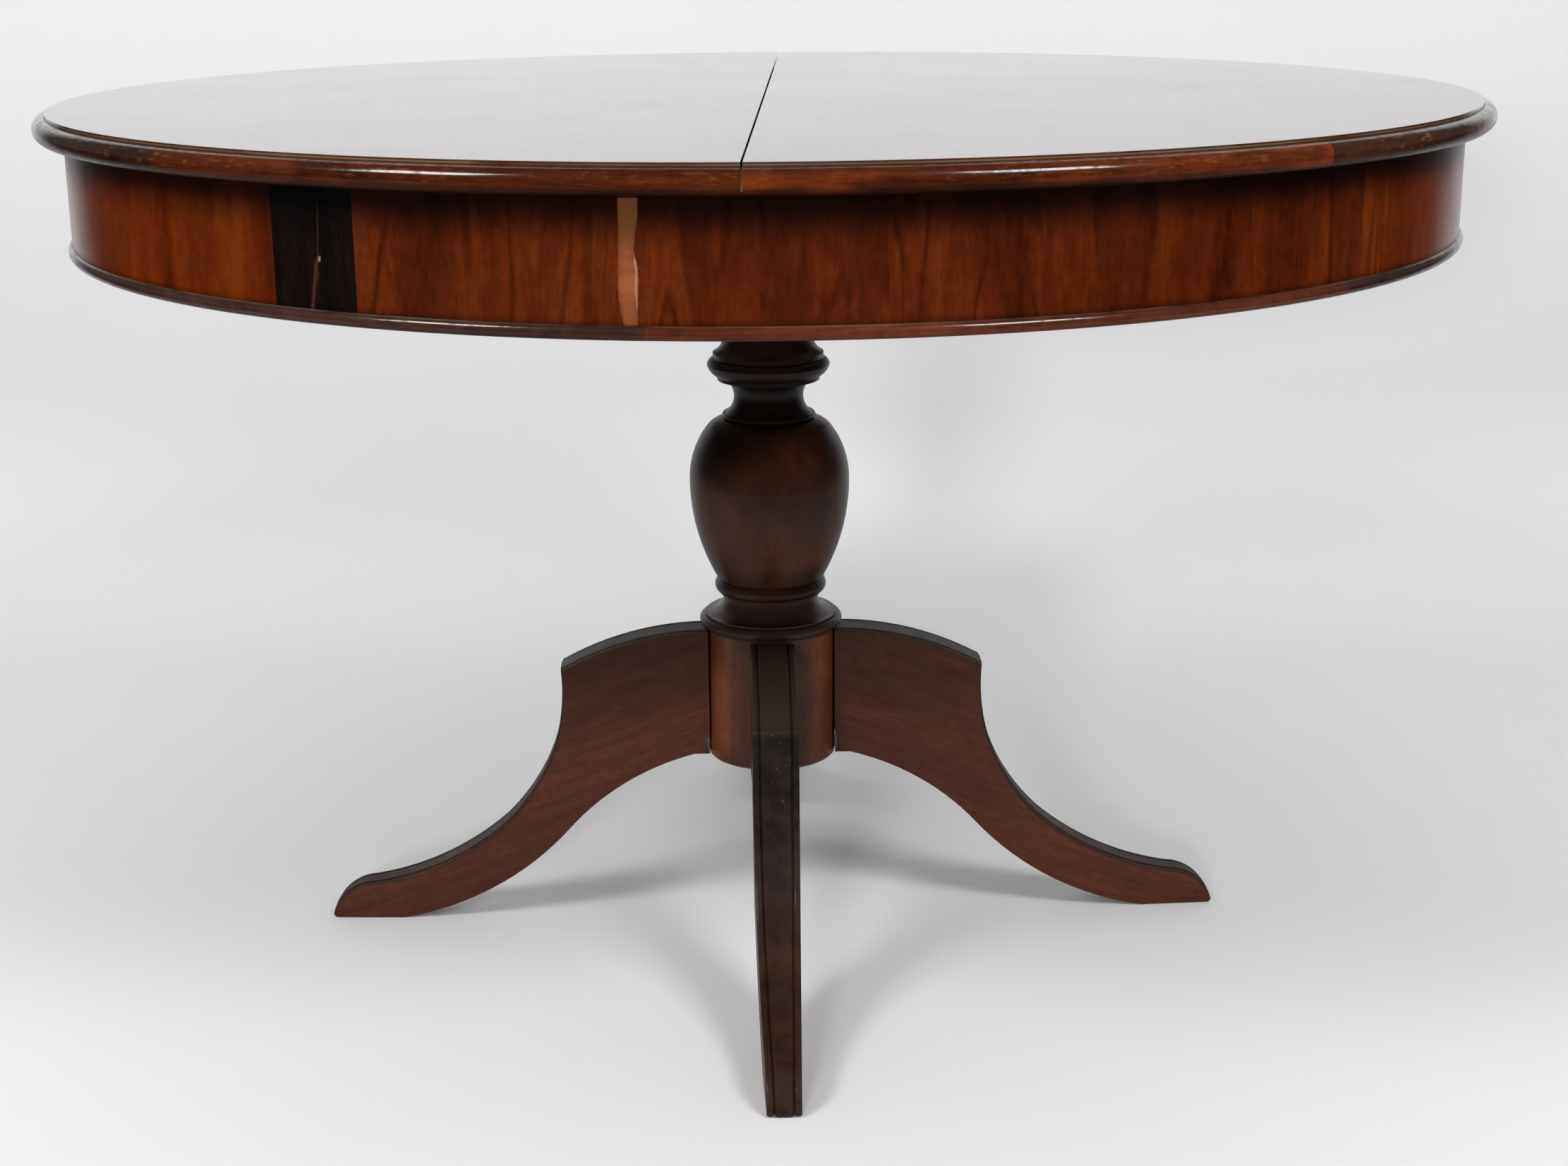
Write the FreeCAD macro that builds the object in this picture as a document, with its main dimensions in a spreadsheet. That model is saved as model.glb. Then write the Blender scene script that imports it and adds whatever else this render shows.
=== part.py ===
import FreeCAD, Part

import math
import os

import Sketcher
from FreeCAD import Placement, Rotation, Vector

# A round pedestal dining table. The top is two half-round leaves, which draw apart along X on wooden
# runners over a fixed veneered drum. A turned column joins the drum to a hub with four sabre legs.
# Lengths are in millimetres, angles in degrees. The floor is z = 0, the seam lies along Y, and -Y is front.

SIZES = {
    # Top
    "top_diameter": 1220,
    "table_height": 762,
    "top_thickness": 22,
    "seam_gap": 1.5,
    "edge_step": 3,
    "moulding_height": 18,
    "moulding_projection": 10.5,
    "leaf_clearance": 0.3,
    # Locating pegs in the seam
    "seam_peg_diameter": 8,
    "seam_peg_reach": 14,
    "seam_peg_clearance": 0.3,
    "seam_peg_inner_place": 150,
    "seam_peg_outer_place": 430,
    # Drum
    "drum_overhang": 23.5,
    "drum_height": 93,
    "drum_wall": 20,
    "veneer_thickness": 1.1,
    "veneer_gap": 0.5,
    "bead_height": 10,
    "bead_projection": 3.6,
    # Cross rails inside the drum
    "rail_place": 120,
    "rail_thickness": 28,
    "rail_height": 63,
    "rail_gap": 5,
    "glue_line": 0.3,
    "glue_block_size": 36,
    # Runners under the leaves
    "runner_width": 26,
    "runner_height": 30,
    "runner_clearance": 0.4,
    "mortise_cover": 12,
    "inner_runner_place": 182,
    "outer_runner_place": 230,
    "packer_length": 100,
    "packer_gap": 16,
    "tail_gap": 76.2,
    "tail_margin": 46,
    "stop_peg_diameter": 10,
    "stop_peg_drop": 10,
    "stop_peg_depth": 20,
    # Screws
    "screw_diameter": 5,
    "screw_head_diameter": 10,
    "screw_head_height": 3.5,
    "screw_sink": 10,
    "screw_clearance": 0.1,
    "leaf_screw_bite": 12,
    "leaf_screw_spacing": 60,
    "rail_screw_bite": 24,
    "rail_screw_spacing": 140,
    # Bearer between the rails and the column
    "bearer_width": 220,
    "bearer_thickness": 24,
    "bearer_end": 20,
    # Column
    "column_radius": 72.3,
    "column_pin_radius": 24,
    "column_pin_length": 80,
    "pin_clearance": 0.1,
    # Hub
    "hub_bottom": 157.5,
    "hub_radius": 58.5,
    "cap_radius": 66,
    "cap_height": 27.7,
    # Legs
    "base_turn_deg": 2.4,
    "leg_reach": 417,
    "leg_rise": 279,
    "leg_thickness": 40,
    "toe_thickness": 28,
    "leg_joint_gap": 0.3,
    "leg_slit": 2,
    "leg_slit_bottom": 163.5,
    "leg_slit_height": 13,
    # Dowels between legs and hub
    "dowel_diameter": 10,
    "dowel_length": 48,
    "dowel_clearance": 0.1,
    "dowel_low_place": 192,
    "dowel_spacing": 33,
    # Every cut runs past its face by this much
    "cut_overrun": 1,
}

# Angles round the table from +X towards +Y, where lengths of edge strip and veneer meet
MOULDING_JOINTS_DEG = {
    "right": (-90, -49.5, 40, 90),
    "left": (90, 140, 227.5, 270),
}
MOULDING_NAMES = {
    "right": ("front", "side", "back"),
    "left": ("back", "side", "front"),
}
BEAD_JOINTS_DEG = {
    "bead_left": (150, 239),
    "bead_front_left": (239, 263.8),
    "bead_front_right": (263.8, 315.5),
    "bead_right": (315.5, 405),
    "bead_back": (45, 150),
}
# A narrow strip between veneer_red_left and veneer_red_right is missing, so the core shows there
VENEER_EDGES_DEG = {
    "veneer_honey": (175, 236.7),
    "veneer_dark_patch": (236.7, 243.7),
    "veneer_red_left": (243.7, 262.1),
    "veneer_red_right": (263.4, 365),
    "veneer_back_right": (5, 90),
    "veneer_back_left": (90, 175),
}
CORE_JOINTS_DEG = {
    "drum_core_right": (-45, 45),
    "drum_core_back": (45, 135),
    "drum_core_left": (135, 225),
    "drum_core_front": (225, 315),
}
LEG_TURNS_DEG = {"leg_right": 0, "leg_back": 90, "leg_left": 180, "leg_front": 270}
DOWELS_PER_LEG = 3

# The column's outline from the hub up, as shares of its largest radius and of its height from hub to
# bearer. A third share turns the run to the next corner into an arc, of that height over half its chord.
COLUMN_SHARES = (
    (0.595, 0.000),
    (0.595, 0.010),
    (0.622, 0.010),
    (0.622, 0.017, -0.72),
    (0.643, 0.058),
    (0.668, 0.059, -0.131),
    (1.000, 0.328, -0.176),
    (0.754, 0.474, -0.12),
    (0.609, 0.491),
    (0.560, 0.493, -0.68),
    (0.560, 0.507),
    (0.533, 0.507, 0.46),
    (0.512, 0.591),
    (0.636, 0.595),
    (0.636, 0.605),
    (0.647, 0.605, -0.25),
    (0.761, 0.635, -0.40),
    (0.664, 0.652),
    (0.686, 0.653),
    (0.686, 0.667, 0.25),
    (0.567, 0.698),
    (0.526, 0.742),
    (0.526, 1.000),
)
# The hub's lower edge as shares of its radius and of its straight height
HUB_FOOT_SHARE = 0.97
HUB_EDGE_SHARE = 0.015
# The small bead that tops the hub's side, and the cap above it, as shares of the cap's radius and height
HUB_BEAD_SHARE = -0.8
HUB_CAP_SHARES = (
    (0.909, 0.108),
    (0.932, 0.120, -0.80),
    (0.932, 0.458),
    (0.909, 0.458),
    (0.909, 0.530, 0.35),
)
# A leg's side outline as shares of its reach and rise, from the top of the shoulder round the foot
LEG_ROOT_SHARE = 0.8
LEG_SHOULDER_SHARES = (0.466, 0.873, -0.09)
LEG_SHARES = (
    LEG_SHOULDER_SHARES,
    (0.482, 0.620, -0.123),
    (0.602, 0.332, -0.143),
    (0.902, 0.124, 0.315),
    (1.000, 0.014, 0.30),
    (0.993, 0.000),
    (0.839, 0.000, 0.145),
    (0.456, 0.319, -0.176),
    (0.173, 0.577),
)
LEG_TOP_SHARE = 0.13
LEG_ROOT_BOTTOM_SHARE = 0.577


class Size:
    """A measure that knows both its value and the sheet expression that gives it."""

    def __init__(self, value, text):
        self.value = value
        self.text = text

    def __add__(self, other):
        return Size(self.value + other.value, f"({self.text} + {other.text})")

    def __sub__(self, other):
        return Size(self.value - other.value, f"({self.text} - {other.text})")

    def __mul__(self, factor):
        if isinstance(factor, Size):
            return Size(self.value * factor.value, f"({self.text} * {factor.text})")
        return Size(self.value * factor, f"({self.text} * {factor:.6f})")

    def __truediv__(self, factor):
        return Size(self.value / factor, f"({self.text} / {factor})")

    def __neg__(self):
        return self * -1

    def root(self):
        """Square root."""
        return Size(math.sqrt(self.value), f"sqrt({self.text})")


def short_side(longest, other):
    """Second short side of a right-angled triangle."""
    return (longest * longest - other * other).root()


doc = FreeCAD.newDocument("pedestal_table")
sheet = doc.addObject("Spreadsheet::Sheet", "Sizes")
for row, (alias, number) in enumerate(SIZES.items(), start=1):
    sheet.set(f"A{row}", alias)
    sheet.set(f"B{row}", str(number))
    sheet.setAlias(f"B{row}", alias)
doc.recompute()

ZERO = Size(0.0, "0")
size = {alias: Size(float(sheet.get(alias)), f"Sizes.{alias}") for alias in SIZES}
nodes = []


# Document helpers


def keep(node):
    """Count an object as one node of the part."""
    nodes.append(node)
    return node


def new_body(label):
    """Start a body under its node name."""
    body = doc.addObject("PartDesign::Body", label)
    body.Label = label
    return keep(body)


def new_sketch(body, role, offset=ZERO):
    """Start a sketch on one of the body's origin planes, moved along the plane's normal."""
    plane = next(feature for feature in body.Origin.OriginFeatures if feature.Role == role)
    sketch = body.newObject("Sketcher::SketchObject", "outline")
    sketch.AttachmentSupport = [(plane, "")]
    sketch.MapMode = "FlatFace"
    sketch.AttachmentOffset = Placement(Vector(0, 0, offset.value), Rotation())
    sketch.setExpression("AttachmentOffset.Base.z", offset.text)
    return sketch


def drive(sketch, constraint, measure):
    """Add a dimension to a sketch and bind it to the sheet."""
    number = sketch.addConstraint(constraint)
    sketch.setExpression(f"Constraints[{number}]", measure.text)


def pin_point(sketch, curve, end, across, along):
    """Hold a point of a sketch at the given coordinates."""
    if across is ZERO:
        sketch.addConstraint(Sketcher.Constraint("PointOnObject", curve, end, -2))
    else:
        drive(sketch, Sketcher.Constraint("DistanceX", -1, 1, curve, end, across.value), across)
    if along is ZERO:
        sketch.addConstraint(Sketcher.Constraint("PointOnObject", curve, end, -1))
    else:
        drive(sketch, Sketcher.Constraint("DistanceY", -1, 1, curve, end, along.value), along)


def draw_outline(sketch, corners):
    """Draw a closed outline of straight runs and arcs.

    A corner is (across, along), with a third number where an arc runs on to the next corner: the arc's
    height over half its chord, positive where it lies to the left of the way round.
    """
    first_curve = sketch.GeometryCount
    count = len(corners)
    ends = []
    for number, corner in enumerate(corners):
        following = corners[(number + 1) % count]
        start = Vector(corner[0].value, corner[1].value)
        finish = Vector(following[0].value, following[1].value)
        if len(corner) == 2:
            sketch.addGeometry(Part.LineSegment(start, finish))
            ends.append((1, 2))
            continue
        half = (finish - start) * 0.5
        middle = start + half + Vector(-half.y, half.x) * corner[2]
        sketch.addGeometry(Part.Arc(start, middle, finish))
        ends.append((2, 1) if corner[2] > 0 else (1, 2))
    for number, corner in enumerate(corners):
        curve = first_curve + number
        following = (number + 1) % count
        pin_point(sketch, curve, ends[number][0], corner[0], corner[1])
        meeting = (curve, ends[number][1], first_curve + following, ends[following][0])
        sketch.addConstraint(Sketcher.Constraint("Coincident", *meeting))
    for number, corner in enumerate(corners):
        if len(corner) == 3:
            pin_arc(sketch, first_curve + number, corner, corners[(number + 1) % count])


def pin_arc(sketch, curve, corner, following):
    """Fix how far an arc bulges, by the place of its centre on the line that halves its chord."""
    across_half = (following[0] - corner[0]) / 2
    along_half = (following[1] - corner[1]) / 2
    shift_share = (corner[2] ** 2 - 1) / (2 * corner[2])
    if abs(across_half.value) < abs(along_half.value):
        centre = corner[0] + across_half - along_half * shift_share
        drive(sketch, Sketcher.Constraint("DistanceX", -1, 1, curve, 3, centre.value), centre)
    else:
        centre = corner[1] + along_half + across_half * shift_share
        drive(sketch, Sketcher.Constraint("DistanceY", -1, 1, curve, 3, centre.value), centre)


def draw_circle(sketch, across, along, radius):
    """Draw one circle."""
    centre = Vector(across.value, along.value)
    curve = sketch.addGeometry(Part.Circle(centre, Vector(0, 0, 1), radius.value))
    pin_point(sketch, curve, 3, across, along)
    drive(sketch, Sketcher.Constraint("Radius", curve, radius.value), radius)


def rectangle(across_from, along_from, across_to, along_to):
    """Corners of a rectangle."""
    return (
        (across_from, along_from),
        (across_to, along_from),
        (across_to, along_to),
        (across_from, along_to),
    )


def pad(body, sketch, length, both_ways=False):
    """Raise a sketch into a solid."""
    feature = body.newObject("PartDesign::Pad", "pad")
    feature.Profile = sketch
    feature.SideType = "Symmetric" if both_ways else "One side"
    feature.setExpression("Length", length.text)
    doc.recompute()


def revolve(body, sketch, sweep):
    """Turn a sketch about Z through an angle, from +X towards +Y."""
    feature = body.newObject("PartDesign::Revolution", "turning")
    feature.Profile = sketch
    feature.ReferenceAxis = (sketch, ["V_Axis"])
    feature.Angle = sweep
    doc.recompute()


def cut(body, sketch, depth, forward=False):
    """Pocket a sketch into the body, along the sketch's normal if forward, and prove that it cut."""
    volume = body.Shape.Volume
    feature = body.newObject("PartDesign::Pocket", "pocket")
    feature.Profile = sketch
    feature.Reversed = forward
    feature.setExpression("Length", depth.text)
    doc.recompute()
    if body.Shape.Volume >= volume:
        raise ValueError(f"a pocket in {body.Label} cuts nothing")
    return feature


def bore(body, role, offset, centres, radius, depth, forward=False):
    """Bore round holes at centres on an origin plane moved to offset."""
    sketch = new_sketch(body, role, offset)
    for across, along in centres:
        draw_circle(sketch, across, along, radius)
    return cut(body, sketch, depth, forward)


def turn_about_z(node, angle):
    """Turn a node about the table's axis."""
    node.Placement = Placement(Vector(), Rotation(Vector(0, 0, 1), angle))


def ring_length(label, corners, angles):
    """A length of edge strip, veneer or drum wall: an outline swept round the table's axis."""
    body = new_body(label)
    sketch = new_sketch(body, "XZ_Plane")
    draw_outline(sketch, corners)
    revolve(body, sketch, angles[1] - angles[0])
    turn_about_z(body, angles[0])
    return body


def block(label, across, along, bottom, height):
    """A squared bar or board between two pairs of faces."""
    body = new_body(label)
    sketch = new_sketch(body, "XY_Plane", bottom)
    draw_outline(sketch, rectangle(across[0], along[0], across[1], along[1]))
    pad(body, sketch, height)
    return body


def cylinder(radius, height, centre, rotation=Rotation()):
    """A loose cylinder that stands on centre."""
    item = doc.addObject("Part::Cylinder", "round")
    item.setExpression("Radius", radius.text)
    item.setExpression("Height", height.text)
    item.Placement = Placement(Vector(*(measure.value for measure in centre)), rotation)
    return item


def group(label, items):
    """One node of several separate solids."""
    compound = doc.addObject("Part::Compound", label)
    compound.Label = label
    compound.Links = items
    return keep(compound)


def screw(across, along, head_bottom, tip):
    """A wood screw driven upwards."""
    foot = (across, along, head_bottom)
    head = cylinder(size["screw_head_diameter"] / 2, size["screw_head_height"], foot)
    shank = cylinder(size["screw_diameter"] / 2, tip - head_bottom, foot)
    item = doc.addObject("Part::Fuse", "screw")
    item.Base = head
    item.Tool = shank
    return item


def drill_for_screws(body, centres, bottom, top):
    """Shank holes right through a piece, with sunk seats for the heads in its underside."""
    shank_radius = size["screw_diameter"] / 2 + size["screw_clearance"]
    head_radius = size["screw_head_diameter"] / 2 + size["screw_clearance"]
    through = top - bottom + size["cut_overrun"] * 2
    bore(body, "XY_Plane", bottom - size["cut_overrun"], centres, shank_radius, through, forward=True)
    bore(body, "XY_Plane", bottom, centres, head_radius, size["screw_sink"], forward=True)


# Heights and radii that several pieces share

top_radius = size["top_diameter"] / 2
panel_radius = top_radius - size["moulding_projection"]
leaf_bottom = size["table_height"] - size["top_thickness"]
half_seam = size["seam_gap"] / 2

drum_radius = top_radius - size["drum_overhang"]
drum_top = leaf_bottom - size["leaf_clearance"]
drum_bottom = drum_top - size["drum_height"]
veneer_back_radius = drum_radius - size["veneer_thickness"]
core_radius = veneer_back_radius - size["veneer_gap"]
drum_inner_radius = drum_radius - size["drum_wall"]
fitted_radius = drum_inner_radius - size["glue_line"]
bead_top = drum_bottom + size["bead_height"]

rail_top = leaf_bottom - size["rail_gap"]
rail_bottom = rail_top - size["rail_height"]
rail_outer_face = size["rail_place"] + size["rail_thickness"] / 2
rail_inner_face = size["rail_place"] - size["rail_thickness"] / 2

runner_top = rail_top - size["mortise_cover"] - size["runner_clearance"]
runner_bottom = runner_top - size["runner_height"]
packer_start = rail_outer_face + size["packer_gap"]
runner_head = packer_start + size["packer_length"]
outermost_face = size["outer_runner_place"] + size["runner_width"] / 2
runner_tail = short_side(drum_inner_radius, outermost_face) - size["tail_gap"]
stop_peg_place = runner_tail - size["tail_margin"]
runner_places = {"right": size["inner_runner_place"], "left": size["outer_runner_place"]}

bearer_bottom = rail_bottom - size["bearer_thickness"]
hub_side_top = size["leg_rise"] + size["leg_joint_gap"]
hub_top = hub_side_top + size["cap_height"]
column_height = bearer_bottom - hub_top
column_foot = hub_top - size["column_pin_length"]
pin_hole_radius = size["column_pin_radius"] + size["pin_clearance"]

# +X is right and -X left; +Y is back and -Y front
SIDES = {"right": 1, "left": -1}
ENDS = {"front": -1, "back": 1}

seam_peg_places = [
    place * sign
    for place in (size["seam_peg_inner_place"], size["seam_peg_outer_place"])
    for sign in ENDS.values()
]
seam_peg_height = leaf_bottom + size["top_thickness"] / 2


# The two leaves


def leaf_screw_places(side):
    """Screw places along a leaf's two runners."""
    middle = packer_start + size["packer_length"] / 2
    return [
        ((middle + size["leaf_screw_spacing"] / 2 * step) * SIDES[side], runner_places[side] * end)
        for end in ENDS.values()
        for step in (-1, 1)
    ]


def leaf_panel(side):
    """A half-round board, bored for the seam pegs and the runner screws."""
    way = SIDES[side]
    body = new_body(f"{side}_leaf_panel")
    half_chord = short_side(panel_radius, half_seam)
    bulge = (panel_radius.value - half_seam.value) / half_chord.value
    sketch = new_sketch(body, "XY_Plane", leaf_bottom)
    draw_outline(sketch, ((half_seam * way, -half_chord, -bulge * way), (half_seam * way, half_chord)))
    pad(body, sketch, size["top_thickness"])

    loose = size["seam_peg_clearance"] if side == "right" else ZERO
    centres = [(place, seam_peg_height) for place in seam_peg_places]
    depth = half_seam + size["seam_peg_reach"] + size["seam_peg_clearance"]
    bore(body, "YZ_Plane", ZERO, centres, size["seam_peg_diameter"] / 2 + loose, depth, forward=way > 0)

    pilot_radius = size["screw_diameter"] / 2 + size["screw_clearance"]
    pilot_depth = size["leaf_screw_bite"] + size["screw_clearance"]
    bore(body, "XY_Plane", leaf_bottom, leaf_screw_places(side), pilot_radius, pilot_depth, forward=True)


def edge_mouldings(side):
    """Half-round strips round a leaf's edge, set below its top face by a small step."""
    top = size["table_height"] - size["edge_step"]
    bottom = top - size["moulding_height"]
    nose_start = top_radius - size["moulding_height"] / 2
    back = panel_radius + size["glue_line"]
    corners = (
        (back, bottom),
        (nose_start, bottom, -1),
        (nose_start, top),
        (back, top),
    )
    seam_angle = math.degrees(math.asin(half_seam.value / panel_radius.value))
    joints = list(MOULDING_JOINTS_DEG[side])
    joints[0] += seam_angle
    joints[-1] -= seam_angle
    for number, name in enumerate(MOULDING_NAMES[side]):
        ring_length(f"{side}_moulding_{name}", corners, (joints[number], joints[number + 1]))


def runner(side, end):
    """A bar that slides in both rails: its head is screwed to the leaf, its tail holds the stop peg."""
    way = SIDES[side]
    middle = runner_places[side] * ENDS[end]
    faces = (middle - size["runner_width"] / 2, middle + size["runner_width"] / 2)
    reach = (-runner_tail * way, runner_head * way)
    body = block(f"{side}_runner_{end}", reach, faces, runner_bottom, size["runner_height"])
    centres = [place for place in leaf_screw_places(side) if place[1].value == middle.value]
    drill_for_screws(body, centres, runner_bottom, runner_top)
    peg_radius = size["stop_peg_diameter"] / 2
    peg_centre = [(-stop_peg_place * way, middle)]
    bore(body, "XY_Plane", runner_bottom, peg_centre, peg_radius, size["stop_peg_depth"], forward=True)


def packer(side, end):
    """A block that fills the height between a runner's head and the leaf."""
    way = SIDES[side]
    middle = runner_places[side] * ENDS[end]
    faces = (middle - size["runner_width"] / 2, middle + size["runner_width"] / 2)
    reach = (packer_start * way, runner_head * way)
    body = block(f"{side}_packer_{end}", reach, faces, runner_top, leaf_bottom - runner_top)
    centres = [place for place in leaf_screw_places(side) if place[1].value == middle.value]
    shank_radius = size["screw_diameter"] / 2 + size["screw_clearance"]
    through = leaf_bottom - runner_top + size["cut_overrun"] * 2
    bore(body, "XY_Plane", runner_top - size["cut_overrun"], centres, shank_radius, through, forward=True)


def leaf_screws(side):
    """The screws that hold a leaf's runners and packers."""
    head_bottom = runner_bottom + size["screw_sink"] - size["screw_head_height"]
    tip = leaf_bottom + size["leaf_screw_bite"]
    group(f"{side}_runner_screws", [screw(*place, head_bottom, tip) for place in leaf_screw_places(side)])


def stop_pegs(side):
    """Pegs below the runner tails, which meet the far rail at full travel."""
    way = SIDES[side]
    length = size["stop_peg_drop"] + size["stop_peg_depth"]
    bottom = runner_bottom - size["stop_peg_drop"]
    places = [runner_places[side] * end for end in ENDS.values()]
    radius = size["stop_peg_diameter"] / 2
    pegs = [cylinder(radius, length, (-stop_peg_place * way, place, bottom)) for place in places]
    group(f"{side}_stop_pegs", pegs)


def seam_pegs():
    """Pegs glued into the left leaf's edge, which enter the right leaf's edge."""
    start = -half_seam - size["seam_peg_reach"]
    length = (half_seam + size["seam_peg_reach"]) * 2
    lying = Rotation(Vector(0, 1, 0), 90)
    radius = size["seam_peg_diameter"] / 2
    pegs = [cylinder(radius, length, (start, place, seam_peg_height), lying) for place in seam_peg_places]
    group("seam_pegs", pegs)


def leaves():
    """Both leaves with their edges, runners and pegs."""
    for side in SIDES:
        leaf_panel(side)
        edge_mouldings(side)
        for end in ENDS:
            runner(side, end)
            packer(side, end)
        leaf_screws(side)
        stop_pegs(side)
    seam_pegs()


# The drum


def drum():
    """Glued core in quarters, veneer sheets and the bead round the bottom edge."""
    wall = rectangle(drum_inner_radius, drum_bottom, core_radius, drum_top)
    for label, angles in CORE_JOINTS_DEG.items():
        ring_length(label, wall, angles)
    sheet_outline = rectangle(veneer_back_radius, bead_top, drum_radius, drum_top)
    for label, angles in VENEER_EDGES_DEG.items():
        ring_length(label, sheet_outline, angles)
    bead_radius = drum_radius + size["bead_projection"]
    depth = bead_radius - veneer_back_radius
    bulge = 2 * depth.value / size["bead_height"].value
    bead = ((veneer_back_radius, drum_bottom, -bulge), (veneer_back_radius, bead_top))
    for label, angles in BEAD_JOINTS_DEG.items():
        ring_length(label, bead, angles)


def cross_rail(side):
    """A rail across the drum, scribed to its wall and mortised for all four runners."""
    way = SIDES[side]
    body = new_body(f"{side}_cross_rail")
    near_end = short_side(fitted_radius, rail_inner_face)
    far_end = short_side(fitted_radius, rail_outer_face)
    run = Vector(size["rail_thickness"].value, near_end.value - far_end.value)
    half_run = run.Length / 2
    bulge = (fitted_radius.value - math.sqrt(fitted_radius.value ** 2 - half_run ** 2)) / half_run
    corners = (
        (rail_inner_face * way, -near_end, -bulge * way),
        (rail_outer_face * way, -far_end),
        (rail_outer_face * way, far_end, -bulge * way),
        (rail_inner_face * way, near_end),
    )
    sketch = new_sketch(body, "XY_Plane", rail_bottom)
    draw_outline(sketch, corners)
    pad(body, sketch, size["rail_height"])

    clearance = size["runner_clearance"]
    half_width = size["runner_width"] / 2 + clearance
    start = rail_inner_face * way if way > 0 else rail_outer_face * way
    mortises = new_sketch(body, "YZ_Plane", start - size["cut_overrun"])
    for place in runner_places.values():
        for end in ENDS.values():
            middle = place * end
            faces = (middle - half_width, middle + half_width)
            low = runner_bottom - clearance
            draw_outline(mortises, rectangle(faces[0], low, faces[1], runner_top + clearance))
    cut(body, mortises, size["rail_thickness"] + size["cut_overrun"] * 2, forward=True)

    pilot_radius = size["screw_diameter"] / 2 + size["screw_clearance"]
    pilot_depth = size["rail_screw_bite"] + size["screw_clearance"]
    places = [place for place in rail_screw_places() if place[0].value * way > 0]
    bore(body, "XY_Plane", rail_bottom, places, pilot_radius, pilot_depth, forward=True)


def rail_screw_places():
    """Screw places where the bearer meets the rails."""
    half_spacing = size["rail_screw_spacing"] / 2
    return [
        (size["rail_place"] * way, half_spacing * end) for way in SIDES.values() for end in ENDS.values()
    ]


def glue_blocks():
    """Blocks in the corners between rails and drum wall, scribed to the wall."""
    edge = size["glue_block_size"]
    blocks = []
    for way in SIDES.values():
        for face, outward in ((rail_outer_face, 1), (rail_inner_face, -1)):
            near = face if outward > 0 else face - edge
            across = near if way > 0 else -near - edge
            back = short_side(fitted_radius, near)
            for end in ENDS.values():
                along = back - edge if end > 0 else -back
                box = doc.addObject("Part::Box", "corner")
                box.setExpression("Length", edge.text)
                box.setExpression("Width", edge.text)
                box.setExpression("Height", size["rail_height"].text)
                box.Placement.Base = Vector(across.value, along.value, rail_bottom.value)
                round_wall = cylinder(fitted_radius, size["rail_height"], (ZERO, ZERO, rail_bottom))
                common = doc.addObject("Part::Common", "glue_block")
                common.Base = box
                common.Tool = round_wall
                blocks.append(common)
    group("glue_blocks", blocks)


def bearer():
    """The board that hangs the column from both rails, with its screws."""
    reach = rail_outer_face + size["bearer_end"]
    half_width = size["bearer_width"] / 2
    faces = (-half_width, half_width)
    body = block("bearer_board", (-reach, reach), faces, bearer_bottom, size["bearer_thickness"])
    low = bearer_bottom - size["cut_overrun"]
    depth = size["bearer_thickness"] + size["cut_overrun"] * 2
    bore(body, "XY_Plane", low, [(ZERO, ZERO)], pin_hole_radius, depth, forward=True)
    drill_for_screws(body, rail_screw_places(), bearer_bottom, rail_bottom)
    head_bottom = bearer_bottom + size["screw_sink"] - size["screw_head_height"]
    tip = rail_bottom + size["rail_screw_bite"]
    group("bearer_screws", [screw(*place, head_bottom, tip) for place in rail_screw_places()])


# The pedestal


def column():
    """One turning with a pin at each end."""
    pin = size["column_pin_radius"]
    corners = [(ZERO, column_foot), (pin, column_foot), (pin, hub_top)]
    for across, along, *bulge in COLUMN_SHARES:
        corners.append((size["column_radius"] * across, hub_top + column_height * along, *bulge))
    corners += [(pin, bearer_bottom), (pin, rail_bottom), (ZERO, rail_bottom)]
    body = new_body("column")
    sketch = new_sketch(body, "XZ_Plane")
    draw_outline(sketch, corners)
    revolve(body, sketch, 360)


def hub():
    """A turned drum with a capped top, a socket for the column and holes for the leg dowels."""
    bottom = size["hub_bottom"]
    radius = size["hub_radius"]
    edge = (hub_side_top - bottom) * HUB_EDGE_SHARE
    bead_top_height = hub_side_top + size["cap_height"] * HUB_CAP_SHARES[0][1]
    waist = size["column_radius"] * COLUMN_SHARES[0][0]
    socket_bottom = column_foot - size["pin_clearance"]
    corners = [
        (ZERO, bottom),
        (radius * HUB_FOOT_SHARE, bottom),
        (radius, bottom + edge),
        (radius, hub_side_top, HUB_BEAD_SHARE),
        (radius, bead_top_height),
    ]
    for across, along, *bulge in HUB_CAP_SHARES:
        corners.append((size["cap_radius"] * across, hub_side_top + size["cap_height"] * along, *bulge))
    corners += [
        (waist, hub_top),
        (pin_hole_radius, hub_top),
        (pin_hole_radius, socket_bottom),
        (ZERO, socket_bottom),
    ]
    body = new_body("hub")
    sketch = new_sketch(body, "XZ_Plane")
    draw_outline(sketch, corners)
    revolve(body, sketch, 360)

    start = radius + size["cut_overrun"]
    depth = size["dowel_length"] / 2 + size["dowel_clearance"] + size["cut_overrun"]
    holes = bore(body, "YZ_Plane", start, dowel_centres(), dowel_hole_radius(), depth)
    pattern = body.newObject("PartDesign::PolarPattern", "leg_places")
    pattern.Originals = [holes]
    axis = next(feature for feature in body.Origin.OriginFeatures if feature.Role == "Z_Axis")
    pattern.Axis = (axis, [""])
    pattern.Occurrences = len(LEG_TURNS_DEG)
    body.Tip = pattern
    turn_about_z(body, size["base_turn_deg"].value)


def dowel_centres():
    """Dowel places up a leg's root."""
    return [
        (ZERO, size["dowel_low_place"] + size["dowel_spacing"] * number) for number in range(DOWELS_PER_LEG)
    ]


def dowel_hole_radius():
    """Radius of a dowel hole."""
    return size["dowel_diameter"] / 2 + size["dowel_clearance"]


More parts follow.
